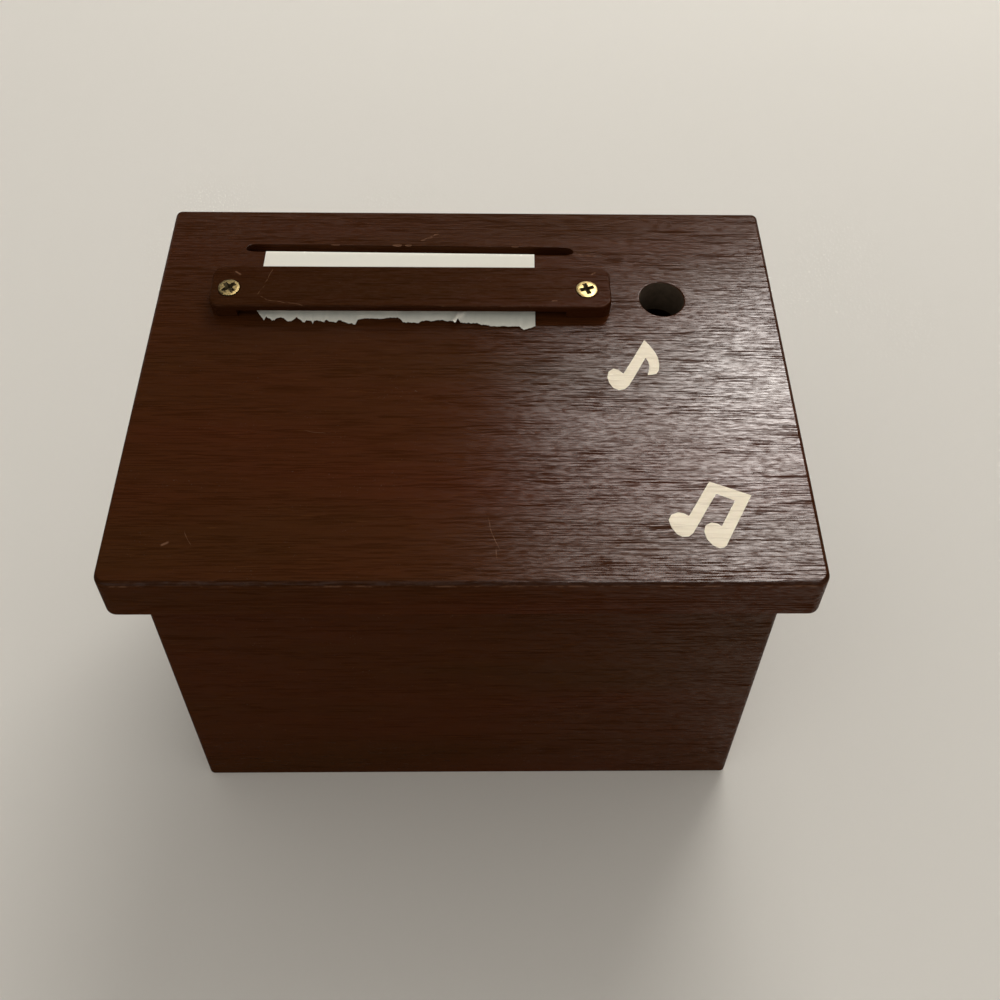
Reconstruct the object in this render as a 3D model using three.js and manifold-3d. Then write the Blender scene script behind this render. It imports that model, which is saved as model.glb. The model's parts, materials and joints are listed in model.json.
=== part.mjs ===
// A wooden desk box that dispenses memo paper and plays a tune.
//
// The sloping lid has a slot for the paper, a tear bar and a hole for a pencil. Inside are a roll of
// paper on a spindle between two cheeks, and a spring-driven music movement with a pinned cylinder and
// a steel comb. A lever under the pencil hole stops the movement while the pencil stands on it.
//
// Millimetres, +Z up. X runs to the right, Y to the rear. The case is laid out from its own front plane
// (y = 0) and its underside (z = 0); the finished group is centred on the whole object's footprint.

import * as THREE from "three";
import { mergeVertices } from "three/addons/utils/BufferGeometryUtils.js";
import Module from "manifold-3d";

const wasm = await Module();
wasm.setup();

// ---------------------------------------------------------------------------------------------------
// Driving dimensions
// ---------------------------------------------------------------------------------------------------

// Clearances shared by everything that fits
const fitGap = 0.3; // between pieces that seat on each other
const shaftGap = 0.2; // round a shaft in its bearing or hub
const screwGap = 0.15; // round a screw's shank

// Lid board
const lidWidth = 127;
const lidDepth = 87.5; // level distance from the plumb front edge to the plumb rear edge
const lidThickness = 8;
const slope = THREE.MathUtils.degToRad(14.4);
const sideOverhang = 4.8;
const frontOverhang = 5.5;
const lidTopRound = 0.9;
const lidBottomRound = 0.7;
const lidCornerRound = 2.4;

// Case
const frontHeight = 65.5; // underside of the lid above the table, at the front plane
const sideWall = 6;
const frontWall = 7;
const backWall = 7;
const caseCornerRound = 1.2;
const baseRecess = 13; // room below the bottom board for the winding key
const baseThickness = 5;

// Paper slot. The slot, bar, pencil hole and torn edge are measured up the lid's top, from its rear edge
const slotLength = 69;
const slotWidth = 2.2;
const slotCentreX = -12.3;
const slotFromRear = 11.7;
const slotEndRound = 1;

// Tear bar
const barLength = 81;
const barDepth = 11;
const barThickness = 3.2;
const barCentreX = -11.3;
const barFromRear = 30.5; // its front edge
const barCornerRound = 2;
const barEdgeRound = 0.5;
const barReliefLength = 66.3;
const barReliefDepth = 1.8;
const barReliefCentreX = -13.1;
const barScrewInsetLeft = 3.9;
const barScrewInsetRight = 4.9;
const barScrewFromEdge = 4.7;
const barScrewProud = 0.2; // of the bar's top

// Pencil hole
const holeDiameter = 9.2;
const holeX = 40.1;
const holeFromRear = 25.3;
const holeChamfer = 0.5;

// Paper
const paperWidth = 57.2;
const paperCentreX = -14.6;
const paperThickness = 0.3;
const paperTornFromRear = 33.2;
const paperBend = 0.8; // radius over the slot's front edge
const paperRise = 0.25; // loose height behind and in front of the bar
const paperLooseRun = 1.4; // in front of the bar, before it lies flat
const rollRadius = 19;
const coreWall = 1.6;

// Spindle and the cheeks that carry it
const spindleRadius = 6;
const cheekGap = 1; // from the paper to each cheek
const cheekThickness = 5;
const cheekDepth = 37;
const cheekRise = 11; // above the spindle's centre
const cheekCornerRound = 11;
const spindleDropGap = 2.2; // from the roll to the rear wall
const lidRollGap = 1.6; // from the roll to the lid's underside

// Hinges
const hingeCentreX = 38;
const hingeLength = 16;
const hingeCentreKnuckle = 5.4;
const hingeKnuckleRadius = 1.4;
const hingePinRadius = 0.7;
const leafWidth = 6; // from the pin's centre
const leafThickness = 0.9;
const leafLap = 0.4; // by which the knuckles' tabs run into the plate
const leafScrewPitch = 9.2;
const leafScrewFromPin = 4;

// Music movement: X along the cylinder, measured from its middle; Z from the bottom board
const movementX = -9.1;
const movementY = 19; // the cylinder's axis, behind the front plane
const axisHeight = 16;
const bedThickness = 3;
const bedMargin = 1; // beyond the barrel at the left
const bedRearMargin = 1.2; // behind the comb
const bedCornerRound = 3;
const bedPadRadius = 3.4; // pads under the holding screws
const bedPadRise = 1.6;
const bedPadInset = 3.6; // from the plate's edges to a pad's centre
const bedFrontRoom = 0.2; // in front of the barrel
const bedWindowHalf = 7.5; // opening under the cylinder's rear
const bedWindowMargin = 1.5;
const bedWindowRound = 2.5;

const cylinderLength = 20;
const cylinderRadius = 6.5;
const pinRadius = 0.22;
const pinProud = 0.5;
const pinSunk = 0.4;
const tuneSteps = 30; // places round the cylinder where a pin may stand
const arborRadius = 1;
const arborEnd = 0.6; // beyond the pinion
const lugThickness = 1.3;
const lugGap = 0.5;
const lugWidth = 6;
const lugTaper = 3; // narrower at the top
const lugRise = 3; // above the cylinder's axis
const lugRound = 2.4;

const crownTeeth = 42;
const pinionTeeth = 20;
const crownRadius = 9.6; // pitch radius
const crownFace = 2.2;
const pinionWidth = 1.6;

// Gear teeth: heights as shares of the module, widths as shares of the width at the pitch line
const addendum = 0.85;
const dedendum = 1.15;
const toothTip = 0.45;
const toothFoot = 1.5;
const toothPlay = 0.16;

const wheelTeeth = 40;
const wheelModule = 0.35;
const wheelWidth = 1.2;
const governorPinionTeeth = 10;
const wormWheelTeeth = 24;
const wormModule = 0.4;
const wormWheelWidth = 1.6;
const governorArborRadius = 0.6;
const wormRadius = 1.5; // pitch radius
const wormCoreRadius = 1;

const barrelWall = 0.8;
const barrelTop = 1.2;
const barrelLift = 1.6; // above the bedplate
const barrelRim = 0.6; // by which the crown stands out past the drum
const topPivot = 1.4; // radius of the arbor's pivot in the barrel's top
const barrelCoverThickness = 0.8;
const springStrip = 0.35;
const springTurns = 5;

const combTeeth = 18;
const combThickness = 2;
const combToothThickness = 0.6;
const combLength = 18.5;
const combGap = 0.26; // between teeth
const combTipGap = 0.28; // from the pins' tips to the teeth
const combLongTooth = 11;
const combShortTooth = 6.2;
const combSideMargin = 0.6; // from the governor plate and the bearing lug
const combLedgeDepth = 6.4;
const combScrewPitch = 12;
const combWeightedTeeth = 7;
const combWeightLength = 2.4; // of the longest tooth's tuning weight
const combWeightStep = 0.2; // by which each next one is shorter
const combWeightFromTip = 1.2;
const combWeightInset = 0.12; // from a tooth's sides
const combTaper = 0.12; // share of its width that a tooth loses at each side

const frameSheet = 1.2; // governor frame
const frameWheelRoom = 5.9; // between its two plates
const frameRise = 3.6; // above the cylinder's axis
const frameFront = 3.5; // in front of the cylinder's axis
const frameRear = 2.6; // behind the worm's axis
const frameBridge = 5; // depth of the bridge over the worm
const frameLap = 0.2; // by which foot and bridge run into the plates
const frameEar = 4.2;
const frameEarHalf = 2.6;
const frameEarScrew = 2; // from the plate to the screw
const shaftEnd = 1.4; // of the fly's shaft above its fan
const fanSpan = 9;
const fanHeight = 5;
const fanThickness = 0.5;
const fanSleeve = 0.7; // wall round the shaft
const fanCornerRound = 0.8;

// Winding key
const windingArborRadius = 1.9;
const arborHubRadius = 3;
const keySpan = 23;
const keyHeight = 9;
const keyThickness = 1.6;
const keyHubRadius = 3.2;
const keyFloorGap = 1.6; // above the table
const keyBoardGap = 0.6; // below the bottom board
const keyHubDepth = 5; // of the arbor's socket
const keyShoulder = 1.2; // from the hub's top to the wings
const keyHubEnd = 1; // from the wings' lower edge to the hub's
const keyLoopHole = 0.5; // share of the loop's radius
const arborChamfer = 0.3;

// Stop lever under the pencil hole
const leverThickness = 1.6;
const leverPivotX = 25.6;
const leverPivotY = 50;
const leverPivotHeight = 12.5; // above the bottom board
const leverArm = 3.2; // depth of the arms
const leverBend = 2; // from the pivot to the bend of each arm
const leverPad = 12;
const leverHubRadius = 2.6;
const leverHubProud = 0.5; // of each side of the blade
const leverTip = 1.3; // half the blade's size round the wire
const leverPadSheet = 1.2;
const leverPadRear = 4; // of the pad behind its centre
const leverWallGap = 1; // from the pad to the rear wall
const wireOverFan = 1; // by which the wire reaches over the fan's circle
const leverPinRadius = 1;
const bracketSheet = 1;
const bracketFoot = 4; // half the foot of each ear
const bracketFront = 12; // base in front of the pivot
const bracketRear = 3; // base behind the screw
const bracketScrewFromPivot = 6.4;
const wireRadius = 0.5;
const leverSpringRadius = 2.2;
const leverSpringWire = 0.35;
const leverSpringTurns = 5;
const leverSpringLift = 0.1;
const leverSpringInset = 1.5; // in front of the pad

// ---------------------------------------------------------------------------------------------------
// Derived places
// ---------------------------------------------------------------------------------------------------

const sinSlope = Math.sin(slope);
const cosSlope = Math.cos(slope);
const tanSlope = Math.tan(slope);

const caseWidth = lidWidth - 2 * sideOverhang;
const caseDepth = lidDepth - frontOverhang;
const floorTop = baseRecess + baseThickness;
const tallest = frontHeight + caseDepth * tanSlope + lidThickness / cosSlope + fitGap;

// A distance down the lid's top from its rear edge, as a distance up the slope from the front plane
const upLid = (fromRear) => (caseDepth + lidThickness * sinSlope) / cosSlope - fromRear;

const hingeN = -fitGap / 2; // the hinge pin lies in the joint between lid and case
const hingeV = (caseDepth + fitGap + hingeN * sinSlope) / cosSlope;
const knuckleReach = caseDepth + fitGap + hingeKnuckleRadius;

const rollInner = spindleRadius + fitGap + coreWall;
const spindleY = caseDepth - backWall - spindleDropGap - rollRadius;
const spindleZ = frontHeight + spindleY * tanSlope - (rollRadius + lidRollGap) / cosSlope;
const cheekLeftX = paperCentreX - paperWidth / 2 - cheekGap;
const cheekRightX = paperCentreX + paperWidth / 2 + cheekGap;
const cheekFrontY = caseDepth - backWall - cheekDepth;

const crownModule = (2 * crownRadius) / crownTeeth;
const pinionRadius = (crownModule * pinionTeeth) / 2;
const pinTip = cylinderRadius + pinProud;
const lugRight = -cylinderLength / 2 - lugGap;
const lugLeft = lugRight - lugThickness;
const pinionRight = lugLeft - fitGap;
const barrelX = pinionRight - pinionWidth / 2 - crownRadius;
const barrelRadius = crownRadius + crownFace / 2;
const crownPitchZ = axisHeight - pinionRadius;

const wheelRadius = (wheelModule * wheelTeeth) / 2;
const governorPinionRadius = (wheelModule * governorPinionTeeth) / 2;
const wormWheelRadius = (wormModule * wormWheelTeeth) / 2;
const governorY = wheelRadius + governorPinionRadius;
const wormY = governorY + wormWheelRadius + wormRadius;
const plateLeft = cylinderLength / 2 + lugGap;
const plateRight = plateLeft + frameSheet + frameWheelRoom;
const wheelX = plateLeft + frameSheet + fitGap * 2;
const wormWheelX = plateRight - fitGap - wormWheelWidth;
const wormX = wormWheelX + wormWheelWidth / 2;

// The lever's pad ends in front of the rear wall, and its wire lies beside the fly
const leverPadY = caseDepth - backWall - leverWallGap - leverPadRear;
const leverFrontY = movementY + wormY;

const toothRoom = pinTip + combTipGap; // from the cylinder's axis to the tips of the comb
const combTopZ = axisHeight + combToothThickness;
const combSide = Math.min(plateLeft, -lugRight) - combSideMargin;

const bedLeftEdge = barrelX - barrelRadius - bedMargin;
const bedFrontEdge = -barrelRadius - bedFrontRoom;
const bedRightEdge = plateRight + frameSheet + frameEar;
const bedRearEdge = toothRoom + combLength + bedRearMargin;

// ---------------------------------------------------------------------------------------------------
// Solids
// ---------------------------------------------------------------------------------------------------

// A three.js geometry as a solid.
function solid(geometry) {
  const bare = geometry.clone();
  bare.deleteAttribute("normal");
  bare.deleteAttribute("uv");
  const merged = mergeVertices(bare, 1e-4);
  const mesh = new wasm.Mesh({
    numProp: 3,
    vertProperties: new Float32Array(merged.getAttribute("position").array),
    triVerts: new Uint32Array(merged.index.array),
  });
  return new wasm.Manifold(mesh);
}

// A solid as a three.js geometry.
function geometryOf(manifold) {
  const mesh = manifold.getMesh();
  const geometry = new THREE.BufferGeometry();
  geometry.setAttribute("position", new THREE.BufferAttribute(mesh.vertProperties, 3));
  geometry.setIndex(new THREE.BufferAttribute(mesh.triVerts, 1));
  return geometry;
}

const join = (...geometries) => geometryOf(geometries.map(solid).reduce((sum, next) => sum.add(next)));

function cut(geometry, ...tools) {
  if (tools.length === 0) return geometry;
  return geometryOf(solid(geometry).subtract(solid(join(...tools))));
}

const common = (...geometries) =>
  geometryOf(geometries.map(solid).reduce((sum, next) => sum.intersect(next)));

// A box between two corners.
function block([x0, y0, z0], [x1, y1, z1]) {
  const box = new THREE.BoxGeometry(x1 - x0, y1 - y0, z1 - z0);
  return box.translate((x0 + x1) / 2, (y0 + y1) / 2, (z0 + z1) / 2);
}

// A round rod along x, y or z, from one end's centre.
function rod(axis, radius, length, [x, y, z], sides = 24, endRadius = radius) {
  const cylinder = new THREE.CylinderGeometry(endRadius, radius, length, sides);
  cylinder.translate(0, length / 2, 0);
  if (axis === "x") cylinder.rotateZ(-Math.PI / 2);
  if (axis === "z") cylinder.rotateX(Math.PI / 2);
  return cylinder.translate(x, y, z);
}

// A profile of [radius, height] pairs, starting and ending on the axis, turned round Z.
function turned(profile, sides = 24) {
  const points = profile.map(([radius, height]) => new THREE.Vector2(radius, height));
  return new THREE.LatheGeometry(points, sides).rotateX(Math.PI / 2);
}

// A ring turned round X, from x0 to x1.
function ringX(innerRadius, outerRadius, x0, x1, sides) {
  const shape = disc(outerRadius, sides);
  shape.holes.push(disc(innerRadius, sides));
  return alongX(shape, x0, x1);
}

function disc(radius, sides, centreA = 0, centreB = 0) {
  const points = [];
  for (let i = 0; i < sides; i += 1) {
    const angle = (2 * Math.PI * i) / sides;
    points.push(new THREE.Vector2(centreA + radius * Math.cos(angle), centreB + radius * Math.sin(angle)));
  }
  return new THREE.Shape(points);
}

// A polygon whose corners are rounded, each by its own radius.
function rounded(corners, radii) {
  const shape = new THREE.Shape();
  const count = corners.length;
  corners.forEach(([a, b], i) => {
    const radius = Array.isArray(radii) ? radii[i] : radii;
    const here = new THREE.Vector2(a, b);
    const before = new THREE.Vector2(...corners[(i + count - 1) % count]).sub(here).setLength(radius);
    const after = new THREE.Vector2(...corners[(i + 1) % count]).sub(here).setLength(radius);
    const start = here.clone().add(before);
    const end = here.clone().add(after);
    if (i === 0) shape.moveTo(start.x, start.y);
    else shape.lineTo(start.x, start.y);
    if (radius > 0) shape.quadraticCurveTo(a, b, end.x, end.y);
  });
  shape.closePath();
  return shape;
}

function rectangle([a0, b0], [a1, b1], radii = 0) {
  return rounded([[a0, b0], [a1, b0], [a1, b1], [a0, b1]], radii);
}

const extrusion = (depth, curveSegments) => ({ depth, curveSegments, bevelEnabled: false });

// A shape drawn in (x, y) and raised from z0 to z1.
function alongZ(shape, z0, z1, curveSegments = 4) {
  return new THREE.ExtrudeGeometry(shape, extrusion(z1 - z0, curveSegments)).translate(0, 0, z0);
}

// A shape drawn in (y, z) and drawn out from x0 to x1.
function alongX(shape, x0, x1, curveSegments = 4) {
  const turn = new THREE.Matrix4().makeBasis(
    new THREE.Vector3(0, 1, 0),
    new THREE.Vector3(0, 0, 1),
    new THREE.Vector3(1, 0, 0),
  );
  const geometry = new THREE.ExtrudeGeometry(shape, extrusion(x1 - x0, curveSegments));
  return geometry.applyMatrix4(turn).translate(x0, 0, 0);
}

// A shape drawn in (x, z) and drawn out from y0 to y1.
function alongY(shape, y0, y1, curveSegments = 4) {
  const geometry = new THREE.ExtrudeGeometry(shape, extrusion(y1 - y0, curveSegments));
  return geometry.rotateX(Math.PI / 2).translate(0, y1, 0);
}

// A spur gear's outline: straight-flanked teeth, with play at the flanks so that a pair runs free.
function gearShape(teeth, module, bore, phase = 0) {
  const pitch = (module * teeth) / 2;
  const tip = pitch + addendum * module;
  const root = pitch - dedendum * module;
  const half = ((module * Math.PI) / 2 - toothPlay) / 2 / pitch; // half a tooth's angle at the pitch line
  const points = [];
  for (let i = 0; i < teeth; i += 1) {
    const centre = phase + (2 * Math.PI * i) / teeth;
    const flank = [[root, -toothFoot], [tip, -toothTip], [tip, toothTip], [root, toothFoot]];
    flank.forEach(([radius, share]) => {
      const angle = centre + share * half;
      points.push(new THREE.Vector2(radius * Math.cos(angle), radius * Math.sin(angle)));
    });
  }
  const shape = new THREE.Shape(points);
  if (bore > 0) shape.holes.push(disc(bore, 16));
  return shape;
}

// ---------------------------------------------------------------------------------------------------
// Finishes and the tree
// ---------------------------------------------------------------------------------------------------

const finish = (color, roughness, metalness) => ({ color, roughness, metalness });
const lacquer = finish(0x3c1e14, 0.35, 0);
const bareWood = finish(0xb98f5e, 0.75, 0);
const brass = finish(0xc8ab62, 0.3, 1);
const steel = finish(0xb8bcc0, 0.35, 1);
const casting = finish(0x9a9ca0, 0.5, 1);
const paper = finish(0xe6e3d8, 0.85, 0);
const card = finish(0xa88a62, 0.9, 0);
const plastic = finish(0xe9e4d4, 0.5, 0);

function piece(group, name, geometry, { color, roughness, metalness }) {
  const material = new THREE.MeshStandardMaterial({ color, roughness, metalness });
  const mesh = new THREE.Mesh(geometry, material);
  mesh.name = name;
  group.add(mesh);
  return mesh;
}

const part = new THREE.Group();
const caseGroup = new THREE.Group();
caseGroup.position.y = (frontOverhang - knuckleReach) / 2;
part.add(caseGroup);

// Lid and hinges are laid out on the slope: y runs up the slope, z stands on the board's underside.
const lidGroup = new THREE.Group();
lidGroup.rotation.x = slope;
lidGroup.position.z = frontHeight + fitGap / cosSlope;
lidGroup.updateMatrix();
caseGroup.add(lidGroup);

const movement = new THREE.Group();
movement.position.set(movementX, movementY, floorTop);
caseGroup.add(movement);

// A case solid, in the lid's own coordinates.
const onLid = (geometry) => geometry.clone().applyMatrix4(lidGroup.matrix.clone().invert());
// A solid in the lid's coordinates, in the case's.
const onCase = (geometry) => geometry.clone().applyMatrix4(lidGroup.matrix);

// ---------------------------------------------------------------------------------------------------
// Screws
// ---------------------------------------------------------------------------------------------------

// Head down from z = 0, shank below it. A countersunk head narrows to the shank; a pan head seats flat.
function screw({ head, headHeight, shank, length, countersunk }) {
  const seat = countersunk ? shank : head;
  const crown = countersunk ? 0.15 : headHeight * 0.45;
  const profile = [
    [0, -length],
    [shank * 0.6, -length],
    [shank, -length + shank],
    [shank, -headHeight],
    [seat, -headHeight],
    [head, -crown],
    [head * 0.8, 0],
    [0, 0],
  ];
  const distinct = profile.filter(([r, z], i) => {
    return i === 0 || r !== profile[i - 1][0] || z !== profile[i - 1][1];
  });
  return turned(distinct, 12);
}

// The hole that takes such a screw, cut from z = 0 down.
function screwHole({ head, headHeight, shank, length, countersunk }, depth = length + fitGap) {
  const bottom = rod("z", shank + screwGap, depth, [0, 0, -depth], 12);
  if (!countersunk) return bottom;
  const sink = headHeight + screwGap;
  return join(bottom, rod("z", shank + screwGap, sink, [0, 0, -sink], 12, head + screwGap));
}

const barScrew = { head: 2.15, headHeight: 1.3, shank: 1, length: 9, countersunk: true };
const leafScrew = { head: 1.35, headHeight: 0.8, shank: 0.7, length: 4.6, countersunk: true };
const combScrew = { head: 1.9, headHeight: 1.2, shank: 1, length: 5.6, countersunk: false };
const holdingScrew = { head: 2.8, headHeight: 1.6, shank: 1.3, length: 9.6, countersunk: false };
const smallScrew = { head: 1.8, headHeight: 1.1, shank: 0.9, length: 3.8, countersunk: false };
const bracketScrew = { head: 2, headHeight: 1.2, shank: 1, length: 5.2, countersunk: false };

// ---------------------------------------------------------------------------------------------------
// Hinges: two brass butts let into the joint between the lid and the back
// ---------------------------------------------------------------------------------------------------

const leafScrewPlaces = [-leafScrewPitch / 2, leafScrewPitch / 2];

// One leaf: a plate in the plane of its side of the joint, tied to its own knuckles round the pin.
function hingeLeaf(side, knuckles) {
  const face = side === "lid" ? fitGap : -fitGap;
  const outer = face + Math.sign(face) * leafThickness;
  const [low, high] = [Math.min(face, outer), Math.max(face, outer)];
  const plateEnd = hingeV - hingeKnuckleRadius - fitGap;
  const plate = block([-hingeLength / 2, hingeV - leafWidth, low], [hingeLength / 2, plateEnd, high]);
  const tabEnd = hingeV - leafLap;
  const tabs = knuckles.map(([x0, x1]) => block([x0, plateEnd - leafLap, low], [x1, tabEnd, high]));
  const rolls = knuckles.map(([x0, x1]) => rod("x", hingeKnuckleRadius, x1 - x0, [x0, hingeV, hingeN], 20));
  const borePlace = [-hingeLength / 2 - 1, hingeV, hingeN];
  const bore = rod("x", hingePinRadius + shaftGap, hingeLength + 2, borePlace, 12);
  return cut(join(plate, ...tabs, ...rolls), bore, ...leafScrewHoles(side, leafThickness + 2));
}

// The screws of one leaf: down into the back for the case, up into the lid for the lid.
function leafScrewTurn(side, geometry, x) {
  const placed = geometry.clone();
  if (side === "lid") placed.rotateX(Math.PI);
  const face = side === "lid" ? fitGap : -fitGap;
  return placed.translate(x, hingeV - leafScrewFromPin, face);
}

function leafScrewHoles(side, depth) {
  return leafScrewPlaces.map((x) => leafScrewTurn(side, screwHole(leafScrew, depth), x));
}

const endKnuckle = (hingeLength - hingeCentreKnuckle) / 2 - fitGap;
const caseKnuckles = [
  [-hingeLength / 2, -hingeLength / 2 + endKnuckle],
  [hingeLength / 2 - endKnuckle, hingeLength / 2],
];
const lidKnuckles = [[-hingeCentreKnuckle / 2, hingeCentreKnuckle / 2]];

// What a hinge takes out of one side of the joint: a bed for the leaf, room for the knuckles, screw holes.
function hingeMortise(side, x) {
  const depth = 2 * fitGap + leafThickness;
  const [low, high] = side === "lid" ? [-1, depth] : [-depth, 1];
  const bed = block(
    [-hingeLength / 2 - fitGap, hingeV - leafWidth - fitGap, low],
    [hingeLength / 2 + fitGap, hingeV + 2, high],
  );
  const room = rod(
    "x",
    hingeKnuckleRadius + fitGap,
    hingeLength + 2 * fitGap,
    [-hingeLength / 2 - fitGap, hingeV, hingeN],
    20,
  );
  return join(bed, room, ...leafScrewHoles(side, leafScrew.length + fitGap)).translate(x, 0, 0);
}

function buildHinges() {
  [["left", -hingeCentreX], ["right", hingeCentreX]].forEach(([sideName, x]) => {
    const caseLeaf = hingeLeaf("case", caseKnuckles).translate(x, 0, 0);
    piece(lidGroup, `hinge_leaf_case_${sideName}`, caseLeaf, brass);
    piece(lidGroup, `hinge_leaf_lid_${sideName}`, hingeLeaf("lid", lidKnuckles).translate(x, 0, 0), brass);
    const pin = rod("x", hingePinRadius, hingeLength, [x - hingeLength / 2, hingeV, hingeN], 12);
    piece(lidGroup, `hinge_pin_${sideName}`, pin, brass);
    ["case", "lid"].forEach((side) => {
      leafScrewPlaces.forEach((offset, i) => {
        const placed = leafScrewTurn(side, screw(leafScrew), offset).translate(x, 0, 0);
        piece(lidGroup, `hinge_screw_${side}_${sideName}_${i + 1}`, placed, brass);
      });
    });
  });
}

const mortises = (side) => [-hingeCentreX, hingeCentreX].map((x) => hingeMortise(side, x));

// ---------------------------------------------------------------------------------------------------
// Case
// ---------------------------------------------------------------------------------------------------

function caseEnvelope() {
  const side = new THREE.Shape([
    new THREE.Vector2(0, 0),
    new THREE.Vector2(caseDepth, 0),
    new THREE.Vector2(caseDepth, frontHeight + caseDepth * tanSlope),
    new THREE.Vector2(0, frontHeight),
  ]);
  const plan = rectangle([-caseWidth / 2, 0], [caseWidth / 2, caseDepth], caseCornerRound);
  return common(alongX(side, -caseWidth / 2, caseWidth / 2), alongZ(plan, 0, tallest, 3));
}

function buildCase() {
  const envelope = caseEnvelope();
  const half = caseWidth / 2;
  const slab = (x0, x1, y0, y1) => common(envelope, block([x0, y0, 0], [x1, y1, tallest]));
  piece(caseGroup, "front_panel", slab(-half, half, 0, frontWall), lacquer);
  const back = slab(-half, half, caseDepth - backWall, caseDepth);
  piece(caseGroup, "back_panel", cut(back, ...mortises("case").map(onCase)), lacquer);
  const sideRear = caseDepth - backWall;
  piece(caseGroup, "left_side", slab(-half, -half + sideWall, frontWall, sideRear), lacquer);
  piece(caseGroup, "right_side", slab(half - sideWall, half, frontWall, sideRear), lacquer);
  piece(caseGroup, "bottom_board", bottomBoard(), bareWood);
}

function bottomBoard() {
  const half = caseWidth / 2 - sideWall;
  const board = block([-half, frontWall, baseRecess], [half, caseDepth - backWall, floorTop]);
  const through = baseThickness + 2;
  const arborHole = rod(
    "z",
    windingArborRadius + 1,
    through,
    [movementX + barrelX, movementY, baseRecess - 1],
    20,
  );
  const screwHoles = holdingPlaces.map(([x, y]) =>
    rod("z", holdingScrew.shank + screwGap, through, [movementX + x, movementY + y, baseRecess - 1], 12),
  );
  const pilot = screwHole(bracketScrew, bracketScrew.length - bracketSheet - bracketScrew.headHeight + 1);
  const bracketHole = pilot.translate(leverPivotX, bracketScrewY, floorTop + 0.5);
  return cut(board, arborHole, bracketHole, ...screwHoles);
}

// ---------------------------------------------------------------------------------------------------
// Lid, tear bar and the paper that lies on them
// ---------------------------------------------------------------------------------------------------

const barFrontV = upLid(barFromRear);
const barScrews = [
  ["left", barCentreX - barLength / 2 + barScrewInsetLeft],
  ["right", barCentreX + barLength / 2 - barScrewInsetRight],
].map(([name, x]) => ({ name, x, v: barFrontV + barScrewFromEdge }));

function lidBoard() {
  const half = lidWidth / 2;
  // Up the slope the two end faces are plumb, so each leans in the board's own coordinates.
  const plumb = (level, n) => (level + n * sinSlope) / cosSlope;
  const section = rounded(
    [
      [plumb(-frontOverhang, 0), 0],
      [plumb(caseDepth, 0), 0],
      [plumb(caseDepth, lidThickness), lidThickness],
      [plumb(-frontOverhang, lidThickness), lidThickness],
    ],
    [lidBottomRound, 0, lidTopRound, lidTopRound],
  );
  const across = rectangle([-half, 0], [half, lidThickness], [
    lidBottomRound,
    lidBottomRound,
    lidTopRound,
    lidTopRound,
  ]);
  const plan = rectangle([-half, -frontOverhang], [half, caseDepth], lidCornerRound);
  const board = common(
    alongX(section, -half, half, 5),
    alongY(across, -2 * frontOverhang, 2 * caseDepth, 5),
    onLid(alongZ(plan, 0, 2 * tallest, 5)),
  );
  return cut(board, paperSlot(), pencilHole(), ...mortises("lid"), ...barScrewHoles());
}

function paperSlot() {
  const v = upLid(slotFromRear);
  const plan = rectangle(
    [slotCentreX - slotLength / 2, v - slotWidth / 2],
    [slotCentreX + slotLength / 2, v + slotWidth / 2],
    slotEndRound,
  );
  return alongZ(plan, -1, lidThickness + 1, 3);
}

function pencilHole() {
  const radius = holeDiameter / 2;
  const v = upLid(holeFromRear);
  const bore = rod("z", radius, lidThickness + 2, [holeX, v, -1], 32);
  const rimPlace = [holeX, v, lidThickness - holeChamfer];
  const rim = rod("z", radius, holeChamfer * 2, rimPlace, 32, radius + 2 * holeChamfer);
  return join(bore, rim);
}

const barScrewHoles = () =>
  barScrews.map(({ x, v }) => screwHole(barScrew).translate(x, v, lidThickness + barThickness));

function tearBar() {
  const left = barCentreX - barLength / 2;
  const right = barCentreX + barLength / 2;
  const low = lidThickness + fitGap / 2;
  const high = lidThickness + barThickness;
  const rear = barFrontV + barDepth;
  const edges = [0, 0, barEdgeRound, barEdgeRound];
  const relief = block(
    [barReliefCentreX - barReliefLength / 2, barFrontV - 1, low - 1],
    [barReliefCentreX + barReliefLength / 2, rear + 1, lidThickness + barReliefDepth],
  );
  const stick = common(
    alongZ(rectangle([left, barFrontV], [right, rear], barCornerRound), low, high),
    alongX(rectangle([barFrontV, low], [rear, high], edges), left, right, 3),
    alongY(rectangle([left, low], [right, high], edges), barFrontV, rear, 3),
  );
  return cut(stick, relief, ...barScrewHoles());
}

// The strip on the lid: up through the slot, over its front edge, under the bar, to the torn end.
function paperStrip() {
  const slotV = upLid(slotFromRear);
  const slotN = fitGap;
  const top = lidThickness + fitGap;
  const under = lidThickness + barReliefDepth / 2 + paperThickness / 2;
  const centre = [
    [slotV, slotN],
    [slotV, lidThickness - paperBend],
    [slotV - paperBend / 2, lidThickness + paperBend / 2],
    [slotV - 2 * paperBend, top + paperRise],
    [(slotV + barFrontV + barDepth) / 2, top + paperRise / 2],
    [barFrontV + barDepth, under],
    [barFrontV, under],
    [barFrontV - paperLooseRun, top + paperRise],
    [upLid(paperTornFromRear), top],
  ];
  return sheetAlong(centre, paperWidth);
}

// A thin sheet that follows a line drawn in (y, z), centred on the paper's own x.
function sheetAlong(centre, width) {
  const points = centre.map(([a, b]) => new THREE.Vector2(a, b));
  const normals = points.map((point, i) => {
    const before = points[Math.max(i - 1, 0)];
    const after = points[Math.min(i + 1, points.length - 1)];
    const along = after.clone().sub(before).normalize();
    return new THREE.Vector2(-along.y, along.x).multiplyScalar(paperThickness / 2);
  });
  const upper = points.map((point, i) => point.clone().add(normals[i]));
  const lower = points.map((point, i) => point.clone().sub(normals[i])).reverse();
  const shape = new THREE.Shape([...upper, ...lower]);
  return alongX(shape, paperCentreX - width / 2, paperCentreX + width / 2);
}

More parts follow.
